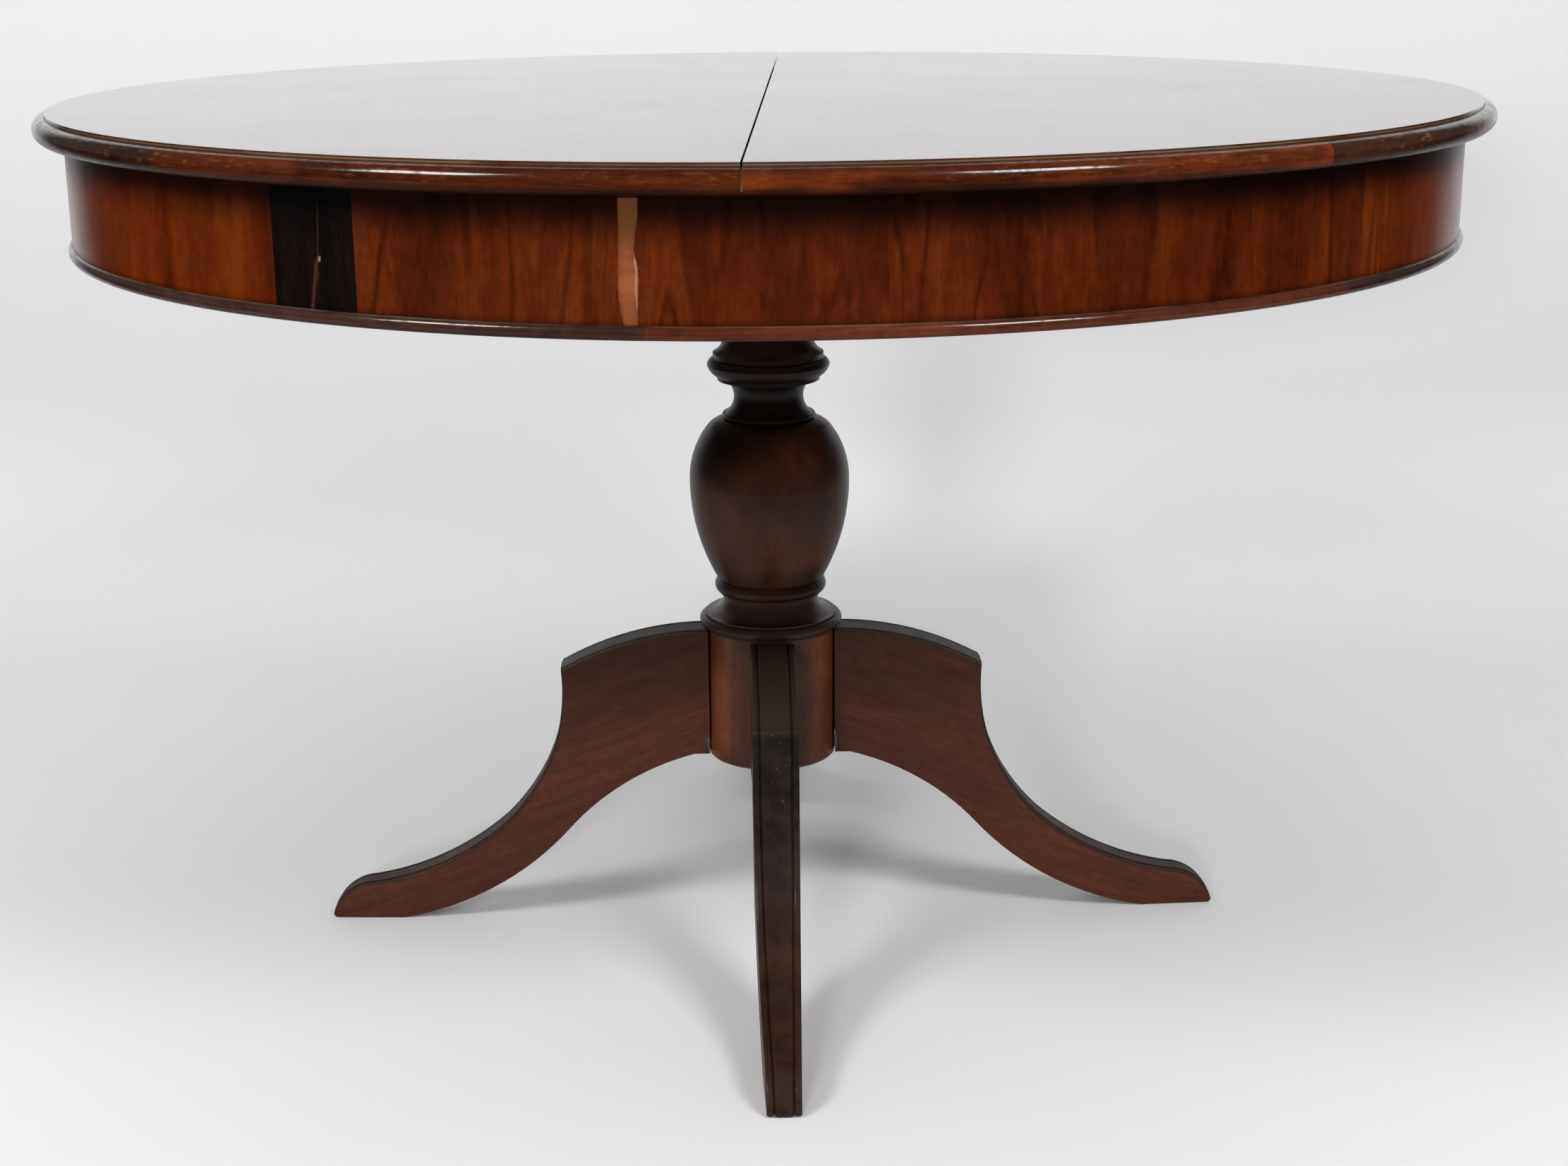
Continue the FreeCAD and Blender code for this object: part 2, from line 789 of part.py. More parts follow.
def leg(label, turn):
    """A leg sawn to its side outline, thinned towards the toe and coved to fit the hub."""
    reach = size["leg_reach"]
    rise = size["leg_rise"]
    root = size["hub_radius"] * LEG_ROOT_SHARE
    corners = [(root, rise, LEG_TOP_SHARE)]
    for across, along, *bulge in LEG_SHARES:
        corners.append((reach * across, rise * along if along else ZERO, *bulge))
    corners.append((root, rise * LEG_ROOT_BOTTOM_SHARE))
    body = new_body(label)
    sketch = new_sketch(body, "XZ_Plane")
    draw_outline(sketch, corners)
    pad(body, sketch, size["leg_thickness"], both_ways=True)

    over = size["cut_overrun"]
    full_height = rise + over * 2
    shoulder = reach * LEG_SHOULDER_SHARES[0]
    tapers = new_sketch(body, "XY_Plane", -over)
    for sign in ENDS.values():
        side = size["leg_thickness"] / 2 * sign
        toe = size["toe_thickness"] / 2 * sign
        outside = (size["leg_thickness"] / 2 + over) * sign
        end = reach + over
        draw_outline(tapers, ((shoulder, side), (end, toe), (end, outside), (shoulder, outside)))
    cut(body, tapers, full_height, forward=True)

    centre = [(ZERO, ZERO)]
    cove = size["hub_radius"] + size["leg_joint_gap"]
    bore(body, "XY_Plane", -over, centre, cove, full_height, forward=True)
    slit = size["hub_radius"] + size["leg_slit"]
    bore(body, "XY_Plane", size["leg_slit_bottom"], centre, slit, size["leg_slit_height"], forward=True)
    depth = size["hub_radius"] + size["dowel_length"] / 2 + size["dowel_clearance"]
    bore(body, "YZ_Plane", ZERO, dowel_centres(), dowel_hole_radius(), depth, forward=True)
    turn_about_z(body, turn + size["base_turn_deg"].value)


def leg_dowels():
    """Dowels that join the legs to the hub, half in each."""
    start = size["hub_radius"].value - size["dowel_length"].value / 2
    dowels = []
    for turn in LEG_TURNS_DEG.values():
        around = Rotation(Vector(0, 0, 1), turn + size["base_turn_deg"].value)
        for centre in dowel_centres():
            foot = around.multVec(Vector(start, 0, centre[1].value))
            dowel = cylinder(size["dowel_diameter"] / 2, size["dowel_length"], (ZERO, ZERO, ZERO))
            dowel.Placement = Placement(foot, around * Rotation(Vector(0, 1, 0), 90))
            dowels.append(dowel)
    group("leg_dowels", dowels)


def pedestal():
    """Column, hub, legs and dowels."""
    column()
    hub()
    for label, turn in LEG_TURNS_DEG.items():
        leg(label, turn)
    leg_dowels()


# The whole table


def write_parts():
    """Check every object and write each node to its own file."""
    doc.recompute()
    for item in doc.Objects:
        if "Invalid" in item.State or "Error" in item.State:
            raise ValueError(f"{item.Label} failed")
    os.makedirs("parts", exist_ok=True)
    for node in nodes:
        if node.Shape.isNull() or not node.Shape.isValid():
            raise ValueError(f"{node.Label} has no valid shape")
    for node in nodes:
        node.Shape.exportStep(f"parts/{node.Label}.step")
        print(node.Label, len(node.Shape.Solids), round(node.Shape.Volume))


leaves()
drum()
for rail_side in SIDES:
    cross_rail(rail_side)
glue_blocks()
bearer()
pedestal()
write_parts()
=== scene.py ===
"""Dress the round extending table: woods, moulded legs, worn veneer, a paper sweep and the camera."""

import logging
import math
from dataclasses import dataclass, replace
from enum import Enum
from functools import partial
from typing import Callable, Sequence, Union

import bmesh
import bpy
from mathutils import Matrix, Vector

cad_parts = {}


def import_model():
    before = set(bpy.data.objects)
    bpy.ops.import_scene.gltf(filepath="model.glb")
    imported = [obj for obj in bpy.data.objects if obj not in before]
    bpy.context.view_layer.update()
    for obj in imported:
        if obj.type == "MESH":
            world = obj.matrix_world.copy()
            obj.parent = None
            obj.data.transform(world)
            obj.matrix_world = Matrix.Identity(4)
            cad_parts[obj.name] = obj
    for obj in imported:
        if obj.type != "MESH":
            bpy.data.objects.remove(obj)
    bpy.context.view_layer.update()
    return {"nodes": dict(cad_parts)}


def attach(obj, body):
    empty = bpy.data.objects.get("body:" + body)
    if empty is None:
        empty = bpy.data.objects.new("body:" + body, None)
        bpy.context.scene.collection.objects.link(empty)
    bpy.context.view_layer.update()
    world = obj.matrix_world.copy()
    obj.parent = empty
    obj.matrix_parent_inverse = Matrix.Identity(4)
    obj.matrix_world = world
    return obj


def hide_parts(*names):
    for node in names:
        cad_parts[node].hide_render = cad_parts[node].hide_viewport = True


LOG = logging.getLogger("table")
MILLIMETRE = 0.001

Colour = tuple[float, float, float]
Point = tuple[float, float, float]
Span = tuple[float, float]
Number = Union[float, "Socket"]
Owner = Union[bpy.types.Material, bpy.types.World]


# Shader maths


class Socket:
    """One output of a node, on which arithmetic adds Math nodes."""

    def __init__(self, graph: "Graph", output: bpy.types.NodeSocket) -> None:
        """Wrap an output of a node in the graph."""
        self.graph = graph
        self.output = output

    def maths(self, operation: str, *others: Number) -> "Socket":
        """Add one Math node with this value first."""
        return self.graph.maths(operation, self, *others)

    def __add__(self, other: Number) -> "Socket":
        """Sum."""
        return self.maths("ADD", other)

    __radd__ = __add__

    def __sub__(self, other: Number) -> "Socket":
        """Difference."""
        return self.maths("SUBTRACT", other)

    def __rsub__(self, other: Number) -> "Socket":
        """Difference from a number."""
        return self.graph.maths("SUBTRACT", other, self)

    def __mul__(self, other: Number) -> "Socket":
        """Product."""
        return self.maths("MULTIPLY", other)

    __rmul__ = __mul__

    def __abs__(self) -> "Socket":
        """Size without its sign."""
        return self.maths("ABSOLUTE")

    def rise(self, low: float, high: float) -> "Socket":
        """Ease from 0 at low to 1 at high."""
        ends = {"Value": self, "From Min": low, "From Max": high}
        return self.graph.add("ShaderNodeMapRange", {"interpolation_type": "SMOOTHSTEP"}, ends)

    def within(self, low: float, high: float, soft: float) -> "Socket":
        """1 between low and high, easing to 0 over soft on each side."""
        return self.rise(low - soft, low + soft) * (1 - self.rise(high - soft, high + soft))


class Graph:
    """The node tree of one material or of the world."""

    NOISE_ROUGHNESS = 0.6
    # Where a Mix node has its share, its two colours and its result
    SHARE, FIRST, SECOND, MIXED = 0, 6, 7, 2

    def __init__(self, owner: Owner) -> None:
        """Start an empty tree.

        Args:
            owner: the material or the world that the tree belongs to.
        """
        self.owner = owner
        owner.use_nodes = True
        self.tree = owner.node_tree
        self.tree.nodes.clear()
        kind = "World" if isinstance(owner, bpy.types.World) else "Material"
        self.end = self.tree.nodes.new(f"ShaderNodeOutput{kind}")

    @staticmethod
    def material(name: str) -> "Graph":
        """Start a new material."""
        return Graph(bpy.data.materials.new(name))

    def add(self, kind: str, settings: dict, inputs: dict, output: Union[int, str] = 0) -> Socket:
        """Add a node.

        Args:
            kind: the node's type.
            settings: properties set before any input; "stops" fills a colour ramp.
            inputs: values or sockets by input name or number.
            output: the output to return.

        Returns:
            The chosen output.
        """
        node = self.tree.nodes.new(kind)
        for key, value in settings.items():
            if key == "stops":
                self.fill_ramp(node.color_ramp, value)
            else:
                setattr(node, key, value)
        for key, value in inputs.items():
            if isinstance(value, Socket):
                self.tree.links.new(value.output, node.inputs[key])
            else:
                node.inputs[key].default_value = value
        return Socket(self, node.outputs[output])

    @staticmethod
    def fill_ramp(ramp: bpy.types.ColorRamp, stops: Sequence[tuple[float, Colour]]) -> None:
        """Give a colour ramp its stops.

        Args:
            ramp: the ramp, with its two first stops.
            stops: the place and colour of each stop.
        """
        while len(ramp.elements) < len(stops):
            ramp.elements.new(0.5)
        for element, (place, colour) in zip(ramp.elements, stops):
            element.position = place
            element.color = (*colour, 1)

    def maths(self, operation: str, *values: Number) -> Socket:
        """Add one Math node."""
        return self.add("ShaderNodeMath", {"operation": operation}, dict(enumerate(values)))

    def vector(self, x: Number, y: Number, z: Number) -> Socket:
        """Join three values into a vector."""
        return self.add("ShaderNodeCombineXYZ", {}, {"X": x, "Y": y, "Z": z})

    def place(self) -> tuple[Socket, Socket, Socket]:
        """Object coordinates as three values in metres."""
        point = self.add("ShaderNodeTexCoord", {}, {}, "Object")
        return tuple(self.add("ShaderNodeSeparateXYZ", {}, {"Vector": point}, axis) for axis in "XYZ")

    def noise(self, vector: Socket, scale: float, detail: float = 3, distortion: float = 0) -> Socket:
        """Noise from about 0.2 to 0.8.

        Args:
            vector: where it is read.
            scale: how many bumps lie in a metre.
            detail: how many finer layers it has.
            distortion: how far its lines waver.

        Returns:
            The noise.
        """
        inputs = {"Vector": vector, "Scale": scale, "Detail": detail, "Distortion": distortion}
        inputs["Roughness"] = self.NOISE_ROUGHNESS
        return self.add("ShaderNodeTexNoise", {}, inputs, "Fac")

    def ramp(self, value: Socket, stops: Sequence[tuple[float, Colour]]) -> Socket:
        """Colours along a value."""
        return self.add("ShaderNodeValToRGB", {"stops": stops}, {"Fac": value}, "Color")

    def mix(self, share: Number, first: Union[Socket, Colour], second: Union[Socket, Colour]) -> Socket:
        """Mix two colours.

        Args:
            share: how much of the second one shows, from 0 to 1.
            first: the colour below.
            second: the colour over it.

        Returns:
            The colour between them.
        """
        colours = [end if isinstance(end, Socket) else (*end, 1) for end in (first, second)]
        inputs = {self.SHARE: share, self.FIRST: colours[0], self.SECOND: colours[1]}
        settings = {"data_type": "RGBA", "clamp_factor": True}
        return self.add("ShaderNodeMix", settings, inputs, self.MIXED)

    def tint(self, colour: Socket, amount: Socket) -> Socket:
        """Colour times a value."""
        inputs = {self.SHARE: 1.0, self.FIRST: colour, self.SECOND: self.vector(amount, amount, amount)}
        return self.add("ShaderNodeMix", {"data_type": "RGBA", "blend_type": "MULTIPLY"}, inputs, self.MIXED)

    def bump(self, height: Socket, distance: float, strength: float) -> Socket:
        """Normal from a height."""
        inputs = {"Height": height, "Distance": distance, "Strength": strength}
        return self.add("ShaderNodeBump", {}, inputs)

    def close(self, shader: Socket) -> Owner:
        """Show a shader and return what the tree belongs to."""
        self.tree.links.new(shader.output, self.end.inputs["Surface"])
        return self.owner

    def surface(self, **inputs: Union[Number, Colour]) -> bpy.types.Material:
        """Close the material with one shader, its inputs named with _ for a space."""
        named = {key.replace("_", " "): value for key, value in inputs.items()}
        return self.close(self.add("ShaderNodeBsdfPrincipled", {}, named))


# Woods


class Grain(Enum):
    """Which way the fibres of a piece run."""

    UPRIGHT_ROUND = "up the wall of the drum"
    ALONG_ROUND = "along a strip bent round the table"
    ALONG_X = "from left to right"
    ALONG_Y = "from front to back"
    UPRIGHT = "up a turned piece"
    DOWN_LEG = "down and outwards along a leg"


DRUM_RADIUS = 0.5865


@dataclass(frozen=True)
class Around:
    """Where a shaded point lies: its place, and its place round the table's axis."""

    x: Socket
    y: Socket
    z: Socket
    radius: Socket
    turn: Socket

    # How steeply a leg's fibres fall
    LEG_SLOPE = math.radians(20)
    # How far out the legs part, and how far the figure of the right, back and left leg is shifted there
    LEGS_PART = (0.04, 0.05)
    LEG_SHIFTS = (3, 7, 5)

    @staticmethod
    def of(graph: Graph) -> "Around":
        """Read Object coordinates.

        Args:
            graph: the material that reads them.

        Returns:
            The place, with its turn in degrees from the front towards the right.
        """
        x, y, z = graph.place()
        radius = (x * x + y * y).maths("SQRT")
        turn = graph.maths("ARCTAN2", x, y * -1) * math.degrees(1)
        return Around(x, y, z, radius, turn)

    def point(self) -> Socket:
        """The place as one vector."""
        return self.x.graph.vector(self.x, self.y, self.z)

    def arc(self) -> Socket:
        """Metres round the drum from the front."""
        return self.turn * math.radians(DRUM_RADIUS)

    def fibres(self, grain: Grain, stretch: float) -> Socket:
        """A vector that changes slowly along the fibres and fast across them.

        Args:
            grain: which way the fibres run.
            stretch: how many times longer than wide a streak is.

        Returns:
            The vector, in metres across the fibres.
        """
        slow = 1 / stretch
        vector = self.x.graph.vector
        if grain is Grain.UPRIGHT_ROUND:
            return vector(self.arc(), self.radius, self.z * slow)
        if grain is Grain.ALONG_ROUND:
            return vector(self.arc() * slow, self.radius, self.z)
        if grain is Grain.ALONG_X:
            return vector(self.x * slow, self.y, self.z)
        if grain is Grain.ALONG_Y:
            return vector(self.x, self.y * slow, self.z)
        if grain is Grain.UPRIGHT:
            return vector(self.x, self.y, self.z * slow)
        fall, run = math.sin(self.LEG_SLOPE), math.cos(self.LEG_SLOPE)
        across = self.radius * fall + self.z * run
        along = self.radius * run - self.z * fall
        width = self.x.graph.maths("MINIMUM", abs(self.x), abs(self.y))
        near, far = self.LEGS_PART
        right, back, left = self.LEG_SHIFTS
        shift = self.x.rise(near, far) * right + self.y.rise(near, far) * back
        shift = shift - self.x.rise(-far, -near) * left
        return vector(along * slow + shift, across, width)


@dataclass
class Coat:
    """A wood's colour and roughness, the ways in which they are worn, chipped or stained, and painted shade
    and light.

    Heights are in metres over the floor, turns are in degrees from the front, and each mask is named for
    the mark that it draws.
    """

    graph: Graph
    around: Around
    colour: Socket
    roughness: Socket

    GOLD = (0.20, 0.085, 0.022)
    BEAD_DUST = (0.17, 0.12, 0.09)
    DULL_BROWN = (0.085, 0.0165, 0.004)
    SCRATCH = (0.30, 0.14, 0.07)
    OPEN_SPLIT = (0.050, 0.010, 0.004)
    HAIR_CRACK = (0.15, 0.045, 0.020)
    CHIP = (0.34, 0.15, 0.07)
    GLUE_STAIN_AND_SHADE = (0.085, 0.030, 0.005)
    TORN_FIBRE = (0.50, 0.26, 0.14)
    EDGE_LINE = (0.24, 0.18, 0.13)
    LEG_DARK_DUST_AND_SHEEN = (0.006, 0.004, 0.003)
    LEG_PALE_DUST_AND_SHEEN = (0.015, 0.010, 0.008)
    LEG_HIGH_DUST_AND_PAINTED_LIGHT = (0.038, 0.025, 0.018)
    LEG_RUBBED = (0.055, 0.018, 0.009)
    LEG_FLECK = (0.35, 0.32, 0.29)
    BLACK_POLISH = (0.012, 0.008, 0.007)

    # The split in the dark sheet: its turn, the height where it bends, and its lean in degrees per metre
    SPLIT_TURN, SPLIT_BEND, SPLIT_LEAN = -29.35, 0.690, 7
    # The torn fibres on the bare core: their turn, height and lean
    FIBRE_TURN, FIBRE_HEIGHT, FIBRE_LEAN = -6.78, 0.69, 3

    def lay(self, share: Number, colour: Union[Socket, Colour]) -> None:
        """Lay a share of another colour over the wood's."""
        self.colour = self.graph.mix(share, self.colour, colour)

    def shade(self, amount: Socket) -> None:
        """Make the colour darker or paler, 1 leaving it as it is."""
        self.colour = self.graph.tint(self.colour, amount)

    def roughen(self, amount: Socket) -> None:
        """Make the surface duller."""
        self.roughness = self.roughness + amount

    def strip_spots(self, amount: float) -> None:
        """Gold-brown rubbed spots on an edge strip, painted shade below its nose, and a paler right side.

        Args:
            amount: how many spots it has, from 0 to 1.
        """
        graph, around, z = self.graph, self.around, self.around.z
        arc = around.arc()
        spread = graph.vector(arc * 0.3, around.radius, z)
        region = graph.noise(graph.vector(arc, 0.0, 0.0), 5.5, 1).rise(0.40, 0.58)
        spots = graph.noise(spread, 300, 3, 0.2).rise(0.54, 0.68) * region * amount * 0.8
        spots = spots * z.rise(0.746, 0.752)
        smear = graph.noise(spread, 30, 2, 0.5).rise(0.50, 0.62)
        # Painted shade: the strip is painted darker under its nose.
        below = 1 - z.rise(0.741, 0.750)
        paler_right = 0.72 + around.turn.rise(8, 38) * 0.5
        self.shade((1 - smear * 0.5) * (1 - below * 0.7) * paler_right)
        self.lay(spots, self.GOLD)
        self.roughen(spots * 0.25)

    def bead_dust(self) -> None:
        """A dusty line where a bead meets the veneer, and rubbed patches along it."""
        graph, around = self.graph, self.around
        patch = graph.noise(graph.vector(around.arc() * 0.2, around.radius, around.z), 40, 3, 0.5)
        dust = around.z.rise(0.6555, 0.6566) * patch.rise(0.35, 0.6)
        self.shade(0.55 + patch * 0.9)
        self.lay(dust * 0.5, self.BEAD_DUST)
        self.roughen(dust * 0.3)

    def drum_shade(self) -> None:
        """Painted shade under the overhang, a darker bottom edge, browner ends paled by painted light, and
        faint scratches.
        """
        graph, z, arc = self.graph, self.around.z, self.around.arc()
        # Painted shade: the veneer is painted dark at its top, under the overhang of the top, and darker
        # towards its bottom edge; the same mask makes it a little rougher.
        shade_and_grime = z.rise(0.702, 0.736) * 0.88 + (1 - z.rise(0.6565, 0.662)) * 0.4
        side = abs(self.around.turn)
        self.lay(side.rise(44, 66) * 0.5, self.DULL_BROWN)
        # Painted light: both ends of the drum are painted paler than its front.
        self.shade((1 - shade_and_grime) * (0.8 + side.rise(25, 68) * 0.6))
        slant = arc * 0.5 + z
        line = abs(graph.noise(graph.vector(slant * 0.4, arc * 0.15, 0.0), 90, 1) - 0.5)
        region = graph.noise(graph.vector(arc, 0.0, z), 22, 1).rise(0.64, 0.72)
        scratch = (1 - line.rise(0.0, 0.006)) * region
        self.lay(scratch * 0.05, self.SCRATCH)
        self.roughen(scratch * 0.2 + shade_and_grime * 0.1)

    def split_patch(self) -> None:
        """A split down the dark sheet, open below, with a pale chip where it turns."""
        self.drum_shade()
        graph, z = self.graph, self.around.z
        wander = (graph.noise(graph.vector(z, 0.0, 0.0), 90, 3) - 0.5) * 0.3
        split = self.around.turn - self.SPLIT_TURN + wander - (z - self.SPLIT_BEND) * self.SPLIT_LEAN
        hair = (1 - abs(split).rise(0.02, 0.09)) * z.within(0.672, 0.722, 0.010) * 0.2
        opening = 1 - abs(split + 0.12 + (self.SPLIT_BEND - z) * 10).rise(0.07, 0.17)
        opening = opening * z.within(0.6, self.SPLIT_BEND, 0.003)
        chip = (1 - abs(split - 0.12).rise(0.04, 0.15)) * z.within(0.6893, 0.6927, 0.0008)
        self.lay(opening * 0.8, self.OPEN_SPLIT)
        self.lay(hair, self.HAIR_CRACK)
        self.lay(chip * 0.7, self.CHIP)
        self.roughen((opening + hair + chip) * 0.3)

    def bare_core(self) -> None:
        """Pale torn fibres where the veneer is gone, and glue stain and painted shade darkening it towards
        the top.
        """
        graph, z = self.graph, self.around.z
        wander = (graph.noise(graph.vector(z, 0.0, 0.0), 70, 2) - 0.5) * 0.5
        lean = (z - self.FIBRE_HEIGHT) * self.FIBRE_LEAN
        torn = 1 - abs(self.around.turn - self.FIBRE_TURN + wander + lean).rise(0.03, 0.12)
        # Glue stain and painted shade: the bare core is darker towards its top, under the overhang.
        self.lay(z.rise(0.690, 0.732) * 0.85, self.GLUE_STAIN_AND_SHADE)
        self.lay(torn * z.within(0.668, 0.702, 0.004) * 0.4, self.TORN_FIBRE)

    def dusty_top(self) -> None:
        """Faint rubbed streaks on the polished top, a pale line round its edge, and a dark underside."""
        graph, around, z = self.graph, self.around, self.around.z
        streak = graph.noise(graph.vector(around.x * 0.6, around.y * 5, 0.0), 3.2, 3, 0.4)
        rub = graph.noise(graph.vector(around.x, around.y, 0.0), 4.5, 3, 0.6)
        line = around.radius.rise(0.598, 0.5992) * z.within(0.7598, 0.7607, 0.0003) * rub.rise(0.3, 0.6)
        above = z.rise(0.7411, 0.7417)
        self.shade((0.86 + streak * 0.28) * (0.1 + above * 0.9))
        self.lay(line * 0.5, self.EDGE_LINE)
        self.roughen((rub - 0.5) * 0.10)

    def greyed_edge(self) -> None:
        """Dust and painted sheen on a leg's moulded edge, rubbed brown patches, and painted shade high on
        its sides.
        """
        graph, z, point = self.graph, self.around.z, self.around.point()
        edge = graph.add("ShaderNodeAttribute", {"attribute_name": Pedestal.EDGE_MARK}, {}, "Fac")
        dust = graph.noise(point, 60, 4, 0.4)
        # Painted sheen and dust grey the moulded edge, and above about 0.24 m painted light makes them
        # paler.
        dust_and_sheen = graph.mix(dust.rise(0.35, 0.65), self.LEG_DARK_DUST_AND_SHEEN, self.LEG_PALE_DUST_AND_SHEEN)
        dust_and_sheen = graph.mix(z.rise(0.235, 0.25), dust_and_sheen, self.LEG_HIGH_DUST_AND_PAINTED_LIGHT)
        high = z.rise(0.05, 0.20)
        rubbed = graph.noise(point, 17, 3, 0.2).rise(0.46, 0.74) * edge * (1 - high)
        fleck = graph.noise(point, 260, 2).rise(0.70, 0.76) * edge * high
        # Painted shade: a darker band high on the leg's sides.
        self.shade(1 - z.rise(0.17, 0.27) * 0.35 * (0.4 + dust))
        self.lay(edge * (0.75 + high * 0.2), dust_and_sheen)
        self.lay(rubbed * 0.6, self.LEG_RUBBED)
        self.lay(fleck * 0.3, self.LEG_FLECK)
        self.roughen(edge * dust * 0.35)

    def smoked_and_shaded(self) -> None:
        """Patchy old dark polish, painted shade high on the turned column under the drum, and darker round
        its foot.
        """
        z = self.around.z
        patch = self.graph.noise(self.around.point(), 10, 2, 0.3).rise(0.34, 0.70)
        # Painted shade: high up, under the drum, the column is painted almost black.
        high = (z - self.around.x * 0.4).rise(0.425, 0.475)
        foot = z.within(0.30, 0.345, 0.006)
        neck = z.rise(0.500, 0.510)
        self.shade((0.45 + patch * 0.9) * (1 - high * 0.92 - foot * 0.5 + neck * 0.06))
        self.roughen(patch * 0.05)

    def dark_cap(self) -> None:
        """Smoked polish, darker on the hub's moulded cap, with painted shade next to its front and back
        legs.
        """
        self.smoked_and_shaded()
        cap = self.around.z.rise(0.2775, 0.281)
        # Painted shade: the hub is painted darker next to its front and back legs.
        shade_beside_legs = (1 - abs(self.around.x).rise(0.022, 0.050)) * (1 - cap)
        self.shade(1.2 - shade_beside_legs * 0.6)
        self.lay(cap * 0.85, self.BLACK_POLISH)


WearAndShade = Callable[[Coat], None]


@dataclass(frozen=True)
class Wood:
    """A wood and its polish.

    dark, middle and pale are its colours across the streaks. streaks is how many broad streaks lie in a
    metre, stretch how much longer than wide they are, veins how dark the thin lines are, pores how deep
    the open grain is. polish is the clear coat, shine the gloss of the wood below it, relief how strongly
    the grain is felt. blotch is how cloudy the colour is. wear may change the colour and the roughness at
    chosen places, with worn marks and with painted shade and light. contrast is how far the colours lie
    apart, less for a livelier figure, and fibre the share of fine lines in it. ripple is how uneven the
    polish is, and bare_below the height where it stops.
    """

    name: str
    grain: Grain
    dark: Colour
    middle: Colour
    pale: Colour
    streaks: float
    stretch: float
    veins: float
    pores: float
    roughness: float
    polish: float
    blotch: float = 0.35
    polish_roughness: float = 0.09
    shine: float = 0.3
    relief: float = 0.35
    # What wears the wood, and for some woods paints shade and light into it.
    wear_and_shade: Union[WearAndShade, None] = None
    contrast: float = 0.16
    fibre: float = 0.25
    ripple: float = 0.0
    bare_below: float = 0.0

    # Scales of the other streaks, in broad streaks
    WIDE, VEIN, FINE, PORE = 0.3, 0.5, 11, 28
    # Scales of what doesn't follow the fibres, per metre
    CLOUD, MOTTLE, RIPPLE, RUBBING = 7, 90, 55, 130
    # Shares in the tone; broad and fine streaks share the last one
    WIDE_SHARE, MOTTLE_SHARE, STREAK_SHARE = 0.3, 0.15, 0.55
    # In metres: how deep the grain is, and how softly the polish stops
    GRAIN_DEPTH = 0.0002
    POLISH_END = 0.003

    def material(self) -> bpy.types.Material:
        """Build the wood's material.

        Returns:
            The finished material.
        """
        graph = Graph.material(self.name)
        around = Around.of(graph)
        fibres, point = around.fibres(self.grain, self.stretch), around.point()
        wide = graph.noise(fibres, self.streaks * self.WIDE, 2, 0.4)
        broad = graph.noise(fibres, self.streaks, 3, 0.5)
        fine = graph.noise(fibres, self.streaks * self.FINE, 5, 0.5)
        cloud = graph.noise(point, self.CLOUD, 2)
        mottle = graph.noise(point, self.MOTTLE, 3, 0.6)
        streaks = broad * (self.STREAK_SHARE - self.fibre) + fine * self.fibre
        tone = wide * self.WIDE_SHARE + streaks + mottle * self.MOTTLE_SHARE
        stops = ((0.5 - self.contrast, self.dark), (0.5, self.middle), (0.5 + self.contrast, self.pale))
        ridge = abs(graph.noise(fibres, self.streaks * self.VEIN, 2, 0.9) - 0.5)
        vein = (1 - ridge.rise(0.0, 0.05)) * self.veins * broad.rise(0.38, 0.6)
        pore = graph.noise(fibres, self.streaks * self.PORE, 1).rise(0.62, 0.74) * self.pores
        cloudy = 1 - self.blotch * 0.5 + cloud * self.blotch
        colour = graph.tint(graph.ramp(tone, stops), (1 - vein) * (1 - pore * 0.55) * cloudy)
        coat = Coat(graph, around, colour, self.roughness + (cloud - 0.5) * 0.16 + fine * 0.06 - 0.03)
        if self.wear_and_shade:
            self.wear_and_shade(coat)
        height = fine * 0.5 - pore - vein * 0.6
        if self.ripple:
            height = height + graph.noise(point, self.RIPPLE, 2) * self.ripple
        polish = self.polish
        if self.bare_below:
            rubbed = graph.noise(point, self.RUBBING, 2).rise(0.48, 0.66) * 0.6
            above = around.z.rise(self.bare_below - self.POLISH_END, self.bare_below + self.POLISH_END)
            polish = above * (1 - rubbed) * self.polish
        return graph.surface(
            Base_Color=coat.colour,
            Specular_IOR_Level=self.shine,
            Roughness=coat.roughness,
            Normal=graph.bump(height, self.GRAIN_DEPTH, self.relief),
            Coat_Weight=polish,
            Coat_Roughness=self.polish_roughness,
        )


